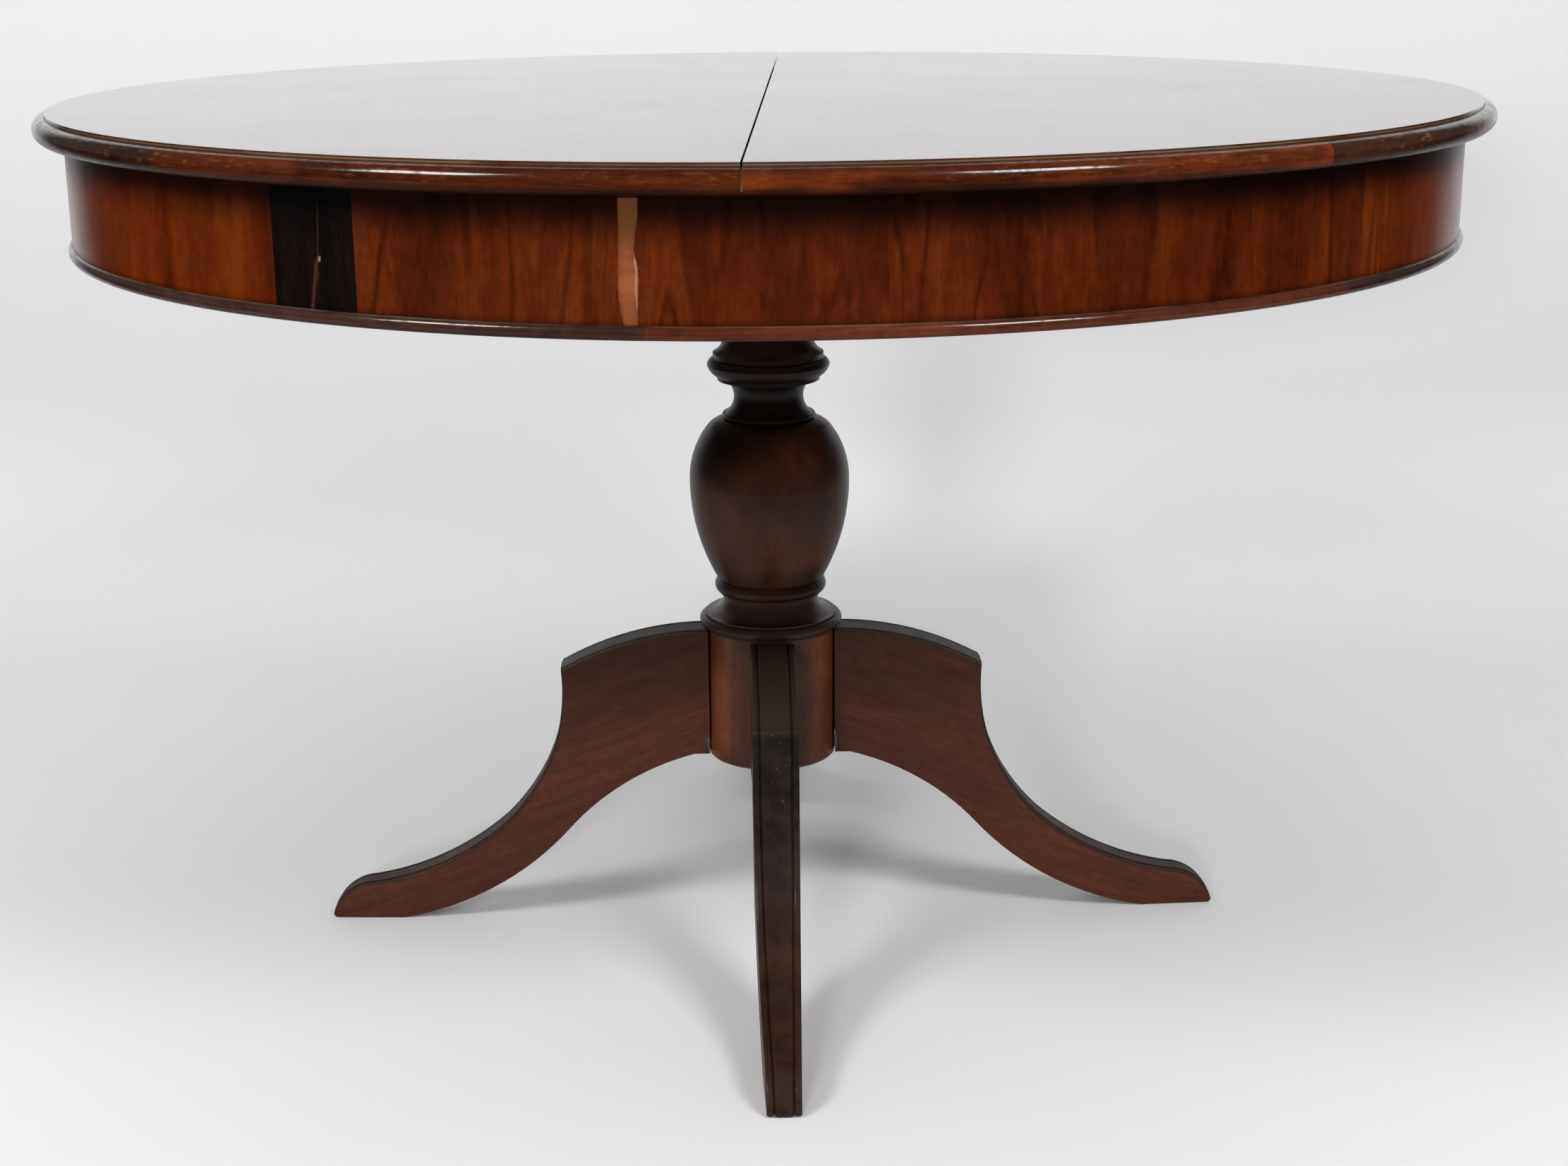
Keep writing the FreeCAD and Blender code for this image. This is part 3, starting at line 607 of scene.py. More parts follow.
class Woods:
    """Every wood on the table."""

    TOP = Wood(
        "polished_top", Grain.ALONG_X, (0.036, 0.013, 0.006), (0.066, 0.025, 0.011), (0.10, 0.040, 0.017),
        streaks=26, stretch=14, veins=0.35, pores=0.5, roughness=0.12, polish=0.7, polish_roughness=0.05,
        shine=0.5, relief=0.6, wear_and_shade=Coat.dusty_top,
    )
    HONEY = Wood(
        "honey_veneer", Grain.UPRIGHT_ROUND,
        (0.040, 0.0052, 0.0005), (0.076, 0.0095, 0.0005), (0.118, 0.019, 0.001),
        streaks=30, stretch=9, veins=0.10, pores=0.25, roughness=0.24, polish=0.15, shine=0.22, relief=0.2,
        wear_and_shade=Coat.drum_shade, contrast=0.10, fibre=0.12,
    )
    DARK_PATCH = Wood(
        "dark_veneer", Grain.UPRIGHT_ROUND,
        (0.002, 0.001, 0.001), (0.005, 0.0025, 0.002), (0.016, 0.006, 0.004),
        streaks=60, stretch=12, veins=0.4, pores=0.4, roughness=0.24, polish=0.25, wear_and_shade=Coat.split_patch,
    )
    RED = Wood(
        "red_veneer", Grain.UPRIGHT_ROUND,
        (0.026, 0.004, 0.001), (0.072, 0.010, 0.001), (0.132, 0.021, 0.0015),
        streaks=36, stretch=7, veins=0.5, pores=0.3, roughness=0.24, polish=0.15, shine=0.22, relief=0.2,
        wear_and_shade=Coat.drum_shade, contrast=0.125, fibre=0.18,
    )
    CORE = Wood(
        "bare_core", Grain.ALONG_ROUND, (0.135, 0.032, 0.006), (0.185, 0.045, 0.009), (0.245, 0.068, 0.016),
        streaks=90, stretch=10, veins=0.15, pores=0.6, roughness=0.62, polish=0.0, wear_and_shade=Coat.bare_core,
    )
    COLUMN = Wood(
        "smoked_shaded_column", Grain.UPRIGHT,
        (0.017, 0.005, 0.002), (0.038, 0.0105, 0.0035), (0.072, 0.019, 0.006),
        streaks=22, stretch=8, veins=0.10, pores=0.25, roughness=0.36, polish=0.10, polish_roughness=0.3,
        shine=0.2, wear_and_shade=Coat.smoked_and_shaded,
    )
    HUB = Wood(
        "hub_wood", Grain.UPRIGHT, (0.042, 0.013, 0.006), (0.095, 0.028, 0.011), (0.155, 0.046, 0.017),
        streaks=36, stretch=10, veins=0.3, pores=0.4, roughness=0.34, polish=0.1, polish_roughness=0.25,
        shine=0.22, wear_and_shade=Coat.dark_cap,
    )
    LEG = Wood(
        "leg_wood", Grain.DOWN_LEG, (0.024, 0.008, 0.005), (0.055, 0.017, 0.009), (0.100, 0.031, 0.016),
        streaks=24, stretch=16, veins=0.18, pores=0.5, roughness=0.36, polish=0.05, shine=0.15,
        wear_and_shade=Coat.greyed_edge,
    )
    FRAME = Wood(
        "frame_wood_x", Grain.ALONG_X, (0.30, 0.17, 0.085), (0.42, 0.26, 0.14), (0.52, 0.35, 0.20),
        streaks=60, stretch=14, veins=0.25, pores=0.6, roughness=0.62, polish=0.0,
    )
    FRAME_ACROSS = replace(FRAME, name="frame_wood_y", grain=Grain.ALONG_Y)
    PEG = Wood(
        "peg_wood", Grain.UPRIGHT, (0.36, 0.22, 0.11), (0.46, 0.31, 0.17), (0.56, 0.40, 0.24),
        streaks=120, stretch=8, veins=0.2, pores=0.5, roughness=0.55, polish=0.0,
    )

    # An edge strip's darkest and palest colour, as shares of its usual one
    STRIP_DARK, STRIP_PALE = 0.35, 1.8

    @staticmethod
    def strip(name: str, middle: Colour, wear_and_shade: WearAndShade, bare_below: float) -> Wood:
        """An edge strip's wood.

        Args:
            name: the material's name.
            middle: its usual colour.
            wear_and_shade: how its polish is worn, and any shade painted on it.
            bare_below: the height below which it was never polished.

        Returns:
            The wood.
        """
        dark = tuple(part * Woods.STRIP_DARK for part in middle)
        pale = tuple(part * Woods.STRIP_PALE for part in middle)
        return Wood(
            name, Grain.ALONG_ROUND, dark, middle, pale, streaks=70, stretch=14, veins=0.2, pores=0.3,
            roughness=0.22, polish=0.8, blotch=0.5, polish_roughness=0.12, shine=0.06, relief=0.5, wear_and_shade=wear_and_shade,
            contrast=0.11, ripple=5.0, bare_below=bare_below,
        )


@dataclass(frozen=True)
class Steel:
    """Dull screw steel with rusty spots."""

    name: str = "screw_steel"
    colour: Colour = (0.34, 0.32, 0.30)
    stain: Colour = (0.13, 0.085, 0.06)
    spots: float = 420
    roughness: float = 0.36

    def material(self) -> bpy.types.Material:
        """Build the metal's material.

        Returns:
            The finished material.
        """
        graph = Graph.material(self.name)
        spots = graph.noise(Around.of(graph).point(), self.spots, 3)
        rust = spots.rise(0.5, 0.66)
        return graph.surface(
            Base_Color=graph.mix(rust * 0.7, self.colour, self.stain),
            Roughness=self.roughness + rust * 0.3,
            Metallic=1 - rust * 0.5,
            Normal=graph.bump(spots, 0.0001, 0.3),
        )


# Shaping


class Outline:
    """A line drawn in the XZ plane from vertex to vertex, straight or along arcs."""

    STEP = math.radians(2.5)

    def __init__(self, mesh: bmesh.types.BMesh, x: float, z: float) -> None:
        """Start the line at a point of the mesh's XZ plane."""
        self.mesh = mesh
        self.tip = self.first = mesh.verts.new((x, 0, z))

    def straight(self, x: float, z: float) -> bmesh.types.BMVert:
        """Draw a straight run.

        Args:
            x, z: where it ends.

        Returns:
            The last vertex.
        """
        self.tip = bmesh.ops.extrude_vert_indiv(self.mesh, verts=[self.tip])["verts"][0]
        self.tip.co = (x, 0, z)
        return self.tip

    def arc(self, x: float, z: float, bulge: float) -> bmesh.types.BMVert:
        """Draw an arc.

        Args:
            x, z: where it ends.
            bulge: its height over half its chord, positive to the left of the way drawn.

        Returns:
            The last vertex.
        """
        start = Vector((self.tip.co.x, self.tip.co.z))
        half = (Vector((x, z)) - start) / 2
        centre = start + half + Vector((-half.y, half.x)) * (bulge * bulge - 1) / (2 * bulge)
        sweep = 4 * math.atan(bulge)
        made = bmesh.ops.spin(
            self.mesh,
            geom=[self.tip],
            cent=(centre.x, 0, centre.y),
            axis=(0, 1, 0),
            angle=sweep,
            steps=max(3, math.ceil(abs(sweep) / self.STEP)),
            use_duplicate=False,
        )
        self.tip = next(item for item in made["geom_last"] if isinstance(item, bmesh.types.BMVert))
        return self.tip

    def close(self) -> None:
        """Join the last vertex to the first."""
        bmesh.ops.contextual_create(self.mesh, geom=[self.tip, self.first])


def make_piece(name: str, mesh: bmesh.types.BMesh, crease: float = 32) -> bpy.types.Object:
    """Turn a bmesh into a smooth-shaded object at the origin.

    Args:
        name: the piece's name.
        mesh: its shape, freed here.
        crease: edges sharper than this many degrees stay crisp.

    Returns:
        The new object.
    """
    bmesh.ops.recalc_face_normals(mesh, faces=mesh.faces)
    for face in mesh.faces:
        face.smooth = True
    for edge in mesh.edges:
        edge.smooth = edge.smooth and edge.calc_face_angle(0.0) < math.radians(crease)
    data = bpy.data.meshes.new(name)
    mesh.to_mesh(data)
    mesh.free()
    piece = bpy.data.objects.new(name, data)
    bpy.context.scene.collection.objects.link(piece)
    return piece


def paint(thing: bpy.types.Object, material: bpy.types.Material) -> None:
    """Give an object one material.

    Args:
        thing: a solid or a new piece.
        material: what it shows.
    """
    if thing.material_slots:
        for slot in thing.material_slots:
            slot.material = material
    else:
        thing.data.materials.append(material)


def settle(piece: bpy.types.Object, body: str, slot: str, *nodes: str) -> None:
    """Put a new piece on its body and in place of its solids.

    Args:
        piece: the new piece.
        body: the body that it rides on.
        slot: the record's material slot; not used.
        nodes: the solids that it stands for.
    """
    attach(piece, body)
    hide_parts(*nodes)
    LOG.info("%s rides on %s for %s", piece.name, body, ", ".join(nodes))


@dataclass
class Dresser:
    """Gives the solids that stay their finishes, and makes each material once."""

    nodes: dict
    made: dict

    def material(self, finish: Union[Wood, Steel]) -> bpy.types.Material:
        """The material of a finish.

        Args:
            finish: the wood or metal.

        Returns:
            Its material, made when it is first asked for.
        """
        if finish.name not in self.made:
            self.made[finish.name] = finish.material()
        return self.made[finish.name]

    def dress(self, finish: Union[Wood, Steel], *names: str) -> None:
        """Give solids a finish.

        Args:
            finish: the wood or metal.
            names: the solids.
        """
        for name in names:
            paint(self.nodes[name], self.material(finish))
            LOG.info("%s has %s", name, finish.name)


# The table's sub-assemblies


@dataclass
class Leaves:
    """Both half-round leaves with their edge strips, runners and pegs."""

    dresser: Dresser
    red: Colour = (0.060, 0.0115, 0.0025)
    dark: Colour = (0.026, 0.009, 0.004)
    orange: Colour = (0.098, 0.0185, 0.004)
    bare_below: float = 0.7485

    def dress(self) -> None:
        """Give every piece of both leaves its finish."""
        dress = self.dresser.dress
        strips = {
            "left_moulding_front": (self.red, 0.45),
            "left_moulding_side": (self.dark, 0.3),
            "left_moulding_back": (self.red, 0.4),
            "right_moulding_front": (self.orange, 0.35),
            "right_moulding_side": (self.dark, 1.0),
            "right_moulding_back": (self.dark, 0.5),
        }
        for name, (colour, amount) in strips.items():
            wear_and_shade = partial(Coat.strip_spots, amount=amount)
            dress(Woods.strip(f"{name}_wood", colour, wear_and_shade, self.bare_below), name)
        for side in ("left", "right"):
            dress(Woods.TOP, f"{side}_leaf_panel")
            for end in ("front", "back"):
                dress(Woods.FRAME, f"{side}_runner_{end}", f"{side}_packer_{end}")
            dress(Steel(), f"{side}_runner_screws")
            dress(Woods.PEG, f"{side}_stop_pegs")
        dress(Woods.PEG, "seam_pegs")


@dataclass
class Drum:
    """The veneered drum with its bead and the frame inside it."""

    dresser: Dresser
    radius: float = DRUM_RADIUS
    thickness: float = 0.0011
    bottom: float = 0.6567
    top: float = 0.7397
    rows: int = 44
    step: float = 1.0
    left_sheet: Span = (-26.3, -7.9)
    right_sheet: Span = (-6.6, 95.0)
    bead_bare_below: float = 0.6505

    # Where the missing strip's edges run, as shares of the height from the top and degrees of turn
    LEFT_TEAR = (
        (0.0, -7.83), (0.18, -7.84), (0.44, -7.91), (0.67, -7.96), (0.82, -7.91), (0.93, -7.79),
        (1.0, -7.61),
    )
    RIGHT_TEAR = (
        (0.0, -6.53), (0.16, -6.55), (0.25, -6.67), (0.33, -6.78), (0.44, -6.85), (0.50, -6.68),
        (0.56, -6.60), (0.67, -6.58), (0.78, -6.65), (0.9, -6.68), (1.0, -6.70),
    )
    # The ragged wobble on both: its size in degrees, its waves and where they start
    WOBBLES = ((0.018, 61, 0), (0.012, 137, 1))

    def follow(self, line: Sequence[Span], share: float) -> float:
        """Follow a torn edge.

        Args:
            line: the edge's points.
            share: how far down the sheet, from 0 to 1.

        Returns:
            Its turn there.
        """
        for (near, start), (far, finish) in zip(line, line[1:]):
            if share <= far:
                turn = start + (finish - start) * (share - near) / (far - near)
                break
        return turn + sum(size * math.sin(share * waves + first) for size, waves, first in self.WOBBLES)

    def torn_sheet(self, name: str, turns: Span, torn_end: int) -> bpy.types.Object:
        """A veneer sheet with one torn edge.

        Args:
            name: the piece's name.
            turns: its two edges in degrees from the front.
            torn_end: which of them is torn.

        Returns:
            The sheet, with its thickness.
        """
        mesh = bmesh.new()
        line = Outline(mesh, self.radius, self.bottom)
        line.straight(self.radius, self.top)
        bmesh.ops.subdivide_edges(mesh, edges=mesh.edges, cuts=self.rows - 1)
        bmesh.ops.rotate(mesh, verts=mesh.verts, matrix=Matrix.Rotation(math.radians(turns[0] - 90), 3, "Z"))
        sweep = turns[1] - turns[0]
        bmesh.ops.spin(
            mesh,
            geom=list(mesh.edges),
            cent=(0, 0, 0),
            axis=(0, 0, 1),
            angle=math.radians(sweep),
            steps=math.ceil(sweep / self.step),
            use_duplicate=False,
        )
        tear = self.LEFT_TEAR if torn_end else self.RIGHT_TEAR
        for vert in mesh.verts:
            turn = math.degrees(math.atan2(vert.co.x, -vert.co.y))
            if abs(turn - turns[torn_end]) < self.step / 4:
                torn = self.follow(tear, (self.top - vert.co.z) / (self.top - self.bottom))
                vert.co = Matrix.Rotation(math.radians(torn - turn), 3, "Z") @ vert.co
        bmesh.ops.recalc_face_normals(mesh, faces=mesh.faces)
        face = next(iter(mesh.faces))
        if face.normal.dot(face.calc_center_median() * Vector((1, 1, 0))) < 0:
            bmesh.ops.reverse_faces(mesh, faces=mesh.faces)
        bmesh.ops.solidify(mesh, geom=mesh.faces, thickness=self.thickness)
        return make_piece(name, mesh)

    def build(self) -> None:
        """Make the torn sheets and dress the whole drum."""
        for name, turns, torn_end, node in (
            ("torn_veneer_left", self.left_sheet, 1, "veneer_red_left"),
            ("torn_veneer_right", self.right_sheet, 0, "veneer_red_right"),
        ):
            sheet = self.torn_sheet(name, turns, torn_end)
            paint(sheet, self.dresser.material(Woods.RED))
            settle(sheet, "base", "red_veneer", node)
        dress = self.dresser.dress
        dress(Woods.RED, "veneer_back_right", "veneer_back_left")
        dress(Woods.HONEY, "veneer_honey")
        dress(Woods.DARK_PATCH, "veneer_dark_patch")
        dress(Woods.CORE, *(f"drum_core_{place}" for place in ("right", "back", "left", "front")))
        beads = {
            "bead_left": (0.036, 0.015, 0.011),
            "bead_front_left": (0.030, 0.012, 0.008),
            "bead_front_right": (0.052, 0.013, 0.006),
            "bead_right": (0.030, 0.013, 0.009),
            "bead_back": (0.060, 0.017, 0.008),
        }
        for name, colour in beads.items():
            dress(Woods.strip(f"{name}_wood", colour, Coat.bead_dust, self.bead_bare_below), name)
        dress(Woods.FRAME_ACROSS, "left_cross_rail", "right_cross_rail", "glue_blocks")
        dress(Woods.FRAME, "bearer_board")
        dress(Steel(), "bearer_screws")


@dataclass
class Pedestal:
    """Column, hub and the four moulded legs."""

    dresser: Dresser
    reach: float = 0.417
    rise: float = 0.279
    hub_radius: float = 0.0588
    cove: float = 0.5
    slit_reach: float = 0.0618
    slit: Span = (0.1635, 0.1765)
    half_thickness: float = 0.020
    toe_half: float = 0.014
    taper_start: float = 0.192
    base_turn: float = 2.4
    crease: float = 35
    touch: float = 1e-5

    # The mark on a leg's vertices that its wood reads
    EDGE_MARK = "edge"
    # The leg's side outline as shares of its reach and rise, with each arc's bulge, close to its solid's
    TOP_EDGE = (
        (0.466, 0.873, 0.13), (0.482, 0.620, -0.09), (0.602, 0.332, -0.123), (0.902, 0.124, -0.143),
        (1.000, 0.014, 0.315), (0.993, 0.000, 0.30),
    )
    UNDERSIDE = ((0.839, 0.0, 0.0), (0.456, 0.319, 0.17), (0.173, 0.577, -0.15))
    # The moulding across the top edge: distance in from a side and depth below the middle, in millimetres
    SECTION = (
        (0.0, 2.3), (0.15, 1.5), (0.7, 0.95), (1.6, 0.6), (2.8, 0.5), (4.0, 0.65), (5.0, 1.1), (5.6, 1.8),
        (5.9, 2.6), (6.7, 2.6), (6.95, 1.3), (7.3, 0.45), (8.0, 0.1), (9.5, 0.0),
    )

    def draw_side(self, mesh: bmesh.types.BMesh) -> None:
        """Draw a leg's side outline and mark on its vertices where the moulding and the hub are.

        Args:
            mesh: the leg, still empty.
        """
        moulded = mesh.verts.layers.float.new("moulded")
        mesh.verts.layers.float.new(self.EDGE_MARK)
        root = mesh.verts.layers.float.new("root")
        line = Outline(mesh, self.hub_radius, self.rise)
        for x, z, bulge in self.TOP_EDGE:
            line.arc(x * self.reach, z * self.rise, bulge)
        upper = set(mesh.verts)
        for x, z, bulge in self.UNDERSIDE:
            if bulge:
                line.arc(x * self.reach, z * self.rise, bulge)
            else:
                line.straight(x * self.reach, z * self.rise)
        low = line.tip.co.z
        for radius, z in (
            (self.hub_radius, low), (self.hub_radius, self.slit[0]), (self.slit_reach, self.slit[0]),
            (self.slit_reach, self.slit[1]), (self.hub_radius, self.slit[1]),
        ):
            line.straight(radius, z)[root] = float(radius == self.hub_radius)
        line.first[root] = 1.0
        line.close()
        for vert in mesh.verts:
            vert[moulded] = float(vert in upper)
        outline = [*mesh.verts, *mesh.edges]
        bmesh.ops.bisect_plane(mesh, geom=outline, plane_co=(self.taper_start, 0, 0), plane_no=(1, 0, 0))

    def keep_directions(self, mesh: bmesh.types.BMesh) -> None:
        """Keep each outline vertex's place and its direction into the wood.

        Args:
            mesh: the leg, drawn as one closed line.
        """
        place = mesh.verts.layers.float_vector.new("place")
        into = mesh.verts.layers.float_vector.new("into")
        moulded = mesh.verts.layers.float.get("moulded")
        ordered = [mesh.verts[0]]
        step = next(edge for edge in ordered[0].link_edges if edge.other_vert(ordered[0])[moulded])
        while len(ordered) < len(mesh.verts):
            ordered.append(step.other_vert(ordered[-1]))
            step = next(edge for edge in ordered[-1].link_edges if edge is not step)
        count = len(ordered)
        for number, vert in enumerate(ordered):
            run = ordered[(number + 1) % count].co - ordered[number - 1].co
            if number == 0:
                run = ordered[1].co - vert.co
            vert[place] = vert.co
            vert[into] = Vector((run.z, 0, -run.x)).normalized()

    def station(self, verts: Sequence[bmesh.types.BMVert], mesh: bmesh.types.BMesh, side: int,
                inset: float, depth: float) -> None:
        """Move one outline to its place across the leg.

        Args:
            verts: the outline's vertices.
            mesh: the leg.
            side: -1 for the near half, 1 for the far half.
            inset: distance in from that side.
            depth: how far the moulded edge lies below the middle of the top edge.
        """
        layers = mesh.verts.layers
        moulded, root, edge = (layers.float[key] for key in ("moulded", "root", self.EDGE_MARK))
        place, into = layers.float_vector["place"], layers.float_vector["into"]
        for vert in verts:
            point = Vector(vert[place]) + Vector(vert[into]) * (depth * vert[moulded])
            share = max(0.0, point.x - self.taper_start) / (self.reach - self.taper_start)
            half = self.half_thickness + (self.toe_half - self.half_thickness) * share
            point.y = side * (half - inset)
            if vert[root]:
                point.x = math.sqrt(self.hub_radius ** 2 - (point.y * self.cove) ** 2)
            point.z = max(point.z, 0.0)
            vert[edge] = vert[moulded] if inset else 0.0
            vert.co = point

    def cap(self, mesh: bmesh.types.BMesh, edges: Sequence[bmesh.types.BMEdge]) -> None:
        """Close a side of the leg with a flat face on each side of where its taper starts.

        Args:
            mesh: the leg.
            edges: the outline on that side.
        """
        place = mesh.verts.layers.float_vector["place"]
        verts = {vert for edge in edges for vert in edge.verts}
        bend = [vert for vert in verts if abs(vert[place].x - self.taper_start) < self.touch]
        for edge in edges:
            edge.smooth = False
        bmesh.ops.contextual_create(mesh, geom=edges)
        bmesh.ops.connect_verts(mesh, verts=bend)

    def leg(self, name: str, turn: float) -> bpy.types.Object:
        """One leg with beads and grooves along its top edge.

        Args:
            name: the piece's name.
            turn: degrees round from the right.

        Returns:
            The leg in its place.
        """
        mesh = bmesh.new()
        self.draw_side(mesh)
        mesh.verts.ensure_lookup_table()
        self.keep_directions(mesh)
        near = [(-1, inset * MILLIMETRE, depth * MILLIMETRE) for inset, depth in self.SECTION]
        far = [(1, inset, depth) for _, inset, depth in reversed(near)]
        edges, verts = list(mesh.edges), list(mesh.verts)
        self.station(verts, mesh, *near[0])
        self.cap(mesh, edges)
        for place in (*near[1:], *far):
            made = bmesh.ops.extrude_edge_only(mesh, edges=edges)["geom"]
            verts = [item for item in made if isinstance(item, bmesh.types.BMVert)]
            fresh = set(verts)
            edges = [item for item in made if isinstance(item, bmesh.types.BMEdge)]
            edges = [edge for edge in edges if fresh.issuperset(edge.verts)]
            self.station(verts, mesh, *place)
        self.cap(mesh, edges)
        turned = Matrix.Rotation(math.radians(turn + self.base_turn), 3, "Z")
        bmesh.ops.rotate(mesh, verts=mesh.verts, matrix=turned)
        return make_piece(name, mesh, self.crease)

    def build(self) -> None:
        """Make the legs and dress the pedestal."""
        for place, turn in (("right", 0), ("back", 90), ("left", 180), ("front", 270)):
            leg = self.leg(f"moulded_leg_{place}", turn)
            paint(leg, self.dresser.material(Woods.LEG))
            settle(leg, "base", "leg_wood", f"leg_{place}")
        self.dresser.dress(Woods.COLUMN, "column")
        self.dresser.dress(Woods.HUB, "hub")
        self.dresser.dress(Woods.PEG, "leg_dowels")


# The studio


@dataclass
class Lamp:
    """One soft rectangular lamp."""

    name: str
    place: Point
    target: Point
    width: float
    height: float
    watts: float
    mirrored: bool = True

    def light(self) -> None:
        """Hang the lamp and turn it to its target."""
        data = bpy.data.lights.new(self.name, "AREA")
        data.shape = "RECTANGLE"
        data.size, data.size_y = self.width, self.height
        data.energy = self.watts
        lamp = bpy.data.objects.new(self.name, data)
        lamp.location = self.place
        aim = Vector(self.target) - Vector(self.place)
        lamp.rotation_mode = "QUATERNION"
        lamp.rotation_quaternion = aim.to_track_quat("-Z", "Y")
        lamp.visible_camera = False
        lamp.visible_glossy = self.mirrored
        bpy.context.scene.collection.objects.link(lamp)


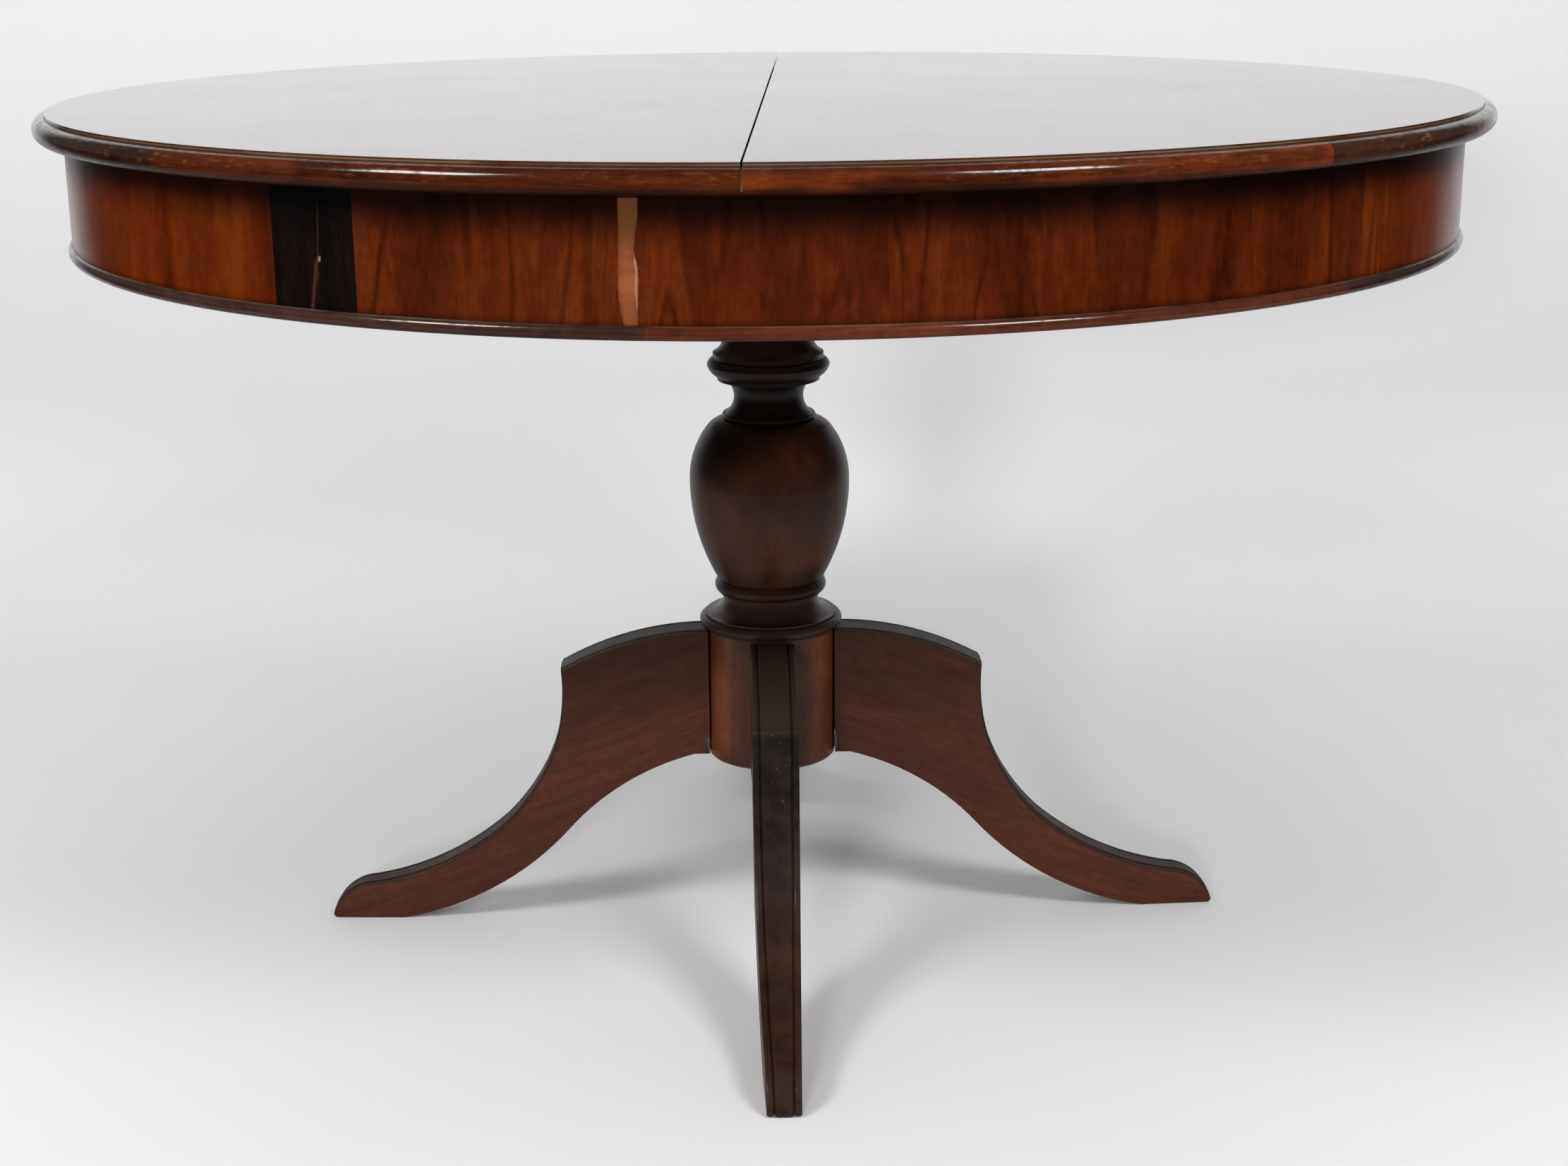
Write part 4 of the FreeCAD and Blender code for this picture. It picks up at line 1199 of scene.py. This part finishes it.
@dataclass
class Studio:
    """Paper sweep, lamps, world and camera."""

    paper: Colour = (0.80, 0.80, 0.81)
    paper_front: float = -1.5
    paper_front_soft: float = 0.4
    fade: Span = (1.4, 2.4)
    ambient: float = 0.41
    mirrored: float = 0.08
    ground: float = 0.82
    sweep_start: float = 0.75
    sweep_radius: float = 1.05
    sweep_top: float = 4.2
    sweep_gap: float = 0.0005
    half_width: float = 2.5
    floor_radius: float = 16.0
    floor_sides: int = 96
    sensor: float = 36.0
    image_width: float = 2222.0
    focal: float = 3338.0
    clip: Span = (0.05, 100)
    camera_place: Point = (0.0124, -2.0806, 0.9112)
    camera_pitch: float = 15.89
    camera_roll: float = -0.5
    camera_orbit: float = 1.14
    lamps: tuple[Lamp, ...] = (
        Lamp("left_softbox", (-2.6, -2.0, 3.1), (0, 0, 0.55), width=1.2, height=1.0, watts=80),
        Lamp("right_softbox", (2.2, -2.3, 3.1), (0, 0, 0.55), width=1.2, height=1.0, watts=78),
        Lamp("overhead", (0.0, 0.3, 3.4), (0, 0.3, 0), width=3.0, height=2.4, watts=10, mirrored=False),
        Lamp("low_front", (-1.0, -6.0, 1.45), (0, 0, 0.5), width=0.8, height=0.5, watts=170, mirrored=False),
    )

    def paper_material(self, name: str, lies: bool) -> bpy.types.Material:
        """White paper that shows from its front only and isn't mirrored beyond its front edge.

        Away from the table it passes into the plain ground.

        Args:
            name: the material's name.
            lies: whether it lies on the floor rather than hangs behind the table.

        Returns:
            The finished material.
        """
        graph = Graph.material(name)
        around = Around.of(graph)
        z, aside = around.z, abs(around.x)
        mottle = graph.noise(around.point(), 3, 3)
        mirrored = graph.add("ShaderNodeLightPath", {}, {}, "Is Glossy Ray")
        front, soft = self.paper_front, self.paper_front_soft
        near = around.y.rise(front - soft, front + soft) * (1 - aside.rise(1.5, 2.2))
        unlit = mirrored * (1 - near * 0.7) * z.within(-1.0, 0.02, 0.02)
        shaded = 0.95 - z.rise(0.0, 0.25) * 0.23 + z.rise(0.3, 0.85) * 0.10
        level = (0.985 + mottle * 0.03) * (1 - unlit) * shaded * (1 - mirrored * aside.rise(1.5, 2.5))
        colour = graph.mix(level, (0, 0, 0), self.paper)
        paper = graph.add("ShaderNodeBsdfDiffuse", {}, {"Color": colour})
        ground = graph.add("ShaderNodeEmission", {}, {"Color": (1, 1, 1, 1), "Strength": self.ground})
        seen = graph.add("ShaderNodeLightPath", {}, {}, "Is Camera Ray")
        away = seen * (around.radius if lies else aside).rise(*self.fade)
        shown = graph.add("ShaderNodeMixShader", {}, {0: away, 1: paper, 2: ground})
        behind = graph.add("ShaderNodeBsdfTransparent", {}, {})
        back = graph.add("ShaderNodeNewGeometry", {}, {}, "Backfacing")
        return graph.close(graph.add("ShaderNodeMixShader", {}, {0: back, 1: shown, 2: behind}))

    def sweep(self) -> None:
        """Floor disc and a paper wall that curves up behind the table."""
        floor = bmesh.new()
        bmesh.ops.create_circle(floor, cap_ends=True, segments=self.floor_sides, radius=self.floor_radius)
        wall = bmesh.new()
        line = Outline(wall, self.sweep_start, 0)
        quarter_turn = -math.tan(math.pi / 8)
        line.arc(self.sweep_start + self.sweep_radius, self.sweep_radius, quarter_turn)
        line.straight(line.tip.co.x, self.sweep_top)
        made = bmesh.ops.extrude_edge_only(wall, edges=wall.edges)["geom"]
        far = [item for item in made if isinstance(item, bmesh.types.BMVert)]
        bmesh.ops.translate(wall, verts=far, vec=(0, 2 * self.half_width, 0))
        bmesh.ops.translate(wall, verts=wall.verts, vec=(0, -self.half_width, self.sweep_gap))
        bmesh.ops.rotate(wall, verts=wall.verts, matrix=Matrix.Rotation(math.radians(90), 3, "Z"))
        for name, mesh in (("floor", floor), ("paper_wall", wall)):
            piece = make_piece(name, mesh)
            paint(piece, self.paper_material(f"{name}_paper", name == "floor"))
        wall_data = bpy.data.objects["paper_wall"].data
        if max(wall_data.polygons, key=lambda face: face.center.z).normal.y > 0:
            wall_data.flip_normals()
        floor_data = bpy.data.objects["floor"].data
        if floor_data.polygons[0].normal.z < 0:
            floor_data.flip_normals()

    def world(self) -> None:
        """Dim even light from all round, and a pale ground behind everything."""
        graph = Graph(bpy.data.worlds.new("studio"))
        seen = graph.add("ShaderNodeLightPath", {}, {}, "Is Camera Ray")
        mirrored = graph.add("ShaderNodeLightPath", {}, {}, "Is Glossy Ray")
        level = self.ambient + seen * (self.ground - self.ambient)
        level = level + mirrored * (self.mirrored - self.ambient)
        background = graph.add("ShaderNodeBackground", {}, {"Color": (1, 1, 1, 1), "Strength": level})
        bpy.context.scene.world = graph.close(background)

    def camera(self) -> None:
        """Stand the camera where the photograph was taken from."""
        data = bpy.data.cameras.new("camera")
        data.sensor_width = self.sensor
        data.lens = self.focal / self.image_width * self.sensor
        data.clip_start, data.clip_end = self.clip
        pitch, roll = math.radians(self.camera_pitch), math.radians(self.camera_roll)
        ahead = Vector((0, math.cos(pitch), -math.sin(pitch)))
        right, up = Vector((1, 0, 0)), Vector((0, math.sin(pitch), math.cos(pitch)))
        leant = right * math.cos(roll) + up * math.sin(roll)
        upright = up * math.cos(roll) - right * math.sin(roll)
        turned = Matrix((leant, upright, -ahead)).transposed().to_4x4()
        orbit = Matrix.Rotation(math.radians(self.camera_orbit), 4, "Z")
        camera = bpy.data.objects.new("camera", data)
        camera.matrix_world = orbit @ Matrix.Translation(self.camera_place) @ turned
        bpy.context.scene.collection.objects.link(camera)
        bpy.context.scene.camera = camera

    def build(self) -> None:
        """Set up the whole studio."""
        self.sweep()
        self.world()
        for lamp in self.lamps:
            lamp.light()
        self.camera()
        bpy.context.scene.view_settings.view_transform = "Standard"


def main() -> None:
    """Build the table's looks and its studio."""
    logging.basicConfig(level=logging.INFO, format="%(message)s")
    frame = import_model()
    dresser = Dresser(frame["nodes"], {})
    Leaves(dresser).dress()
    Drum(dresser).build()
    Pedestal(dresser).build()
    Studio().build()


if __name__ == "__main__":
    main()
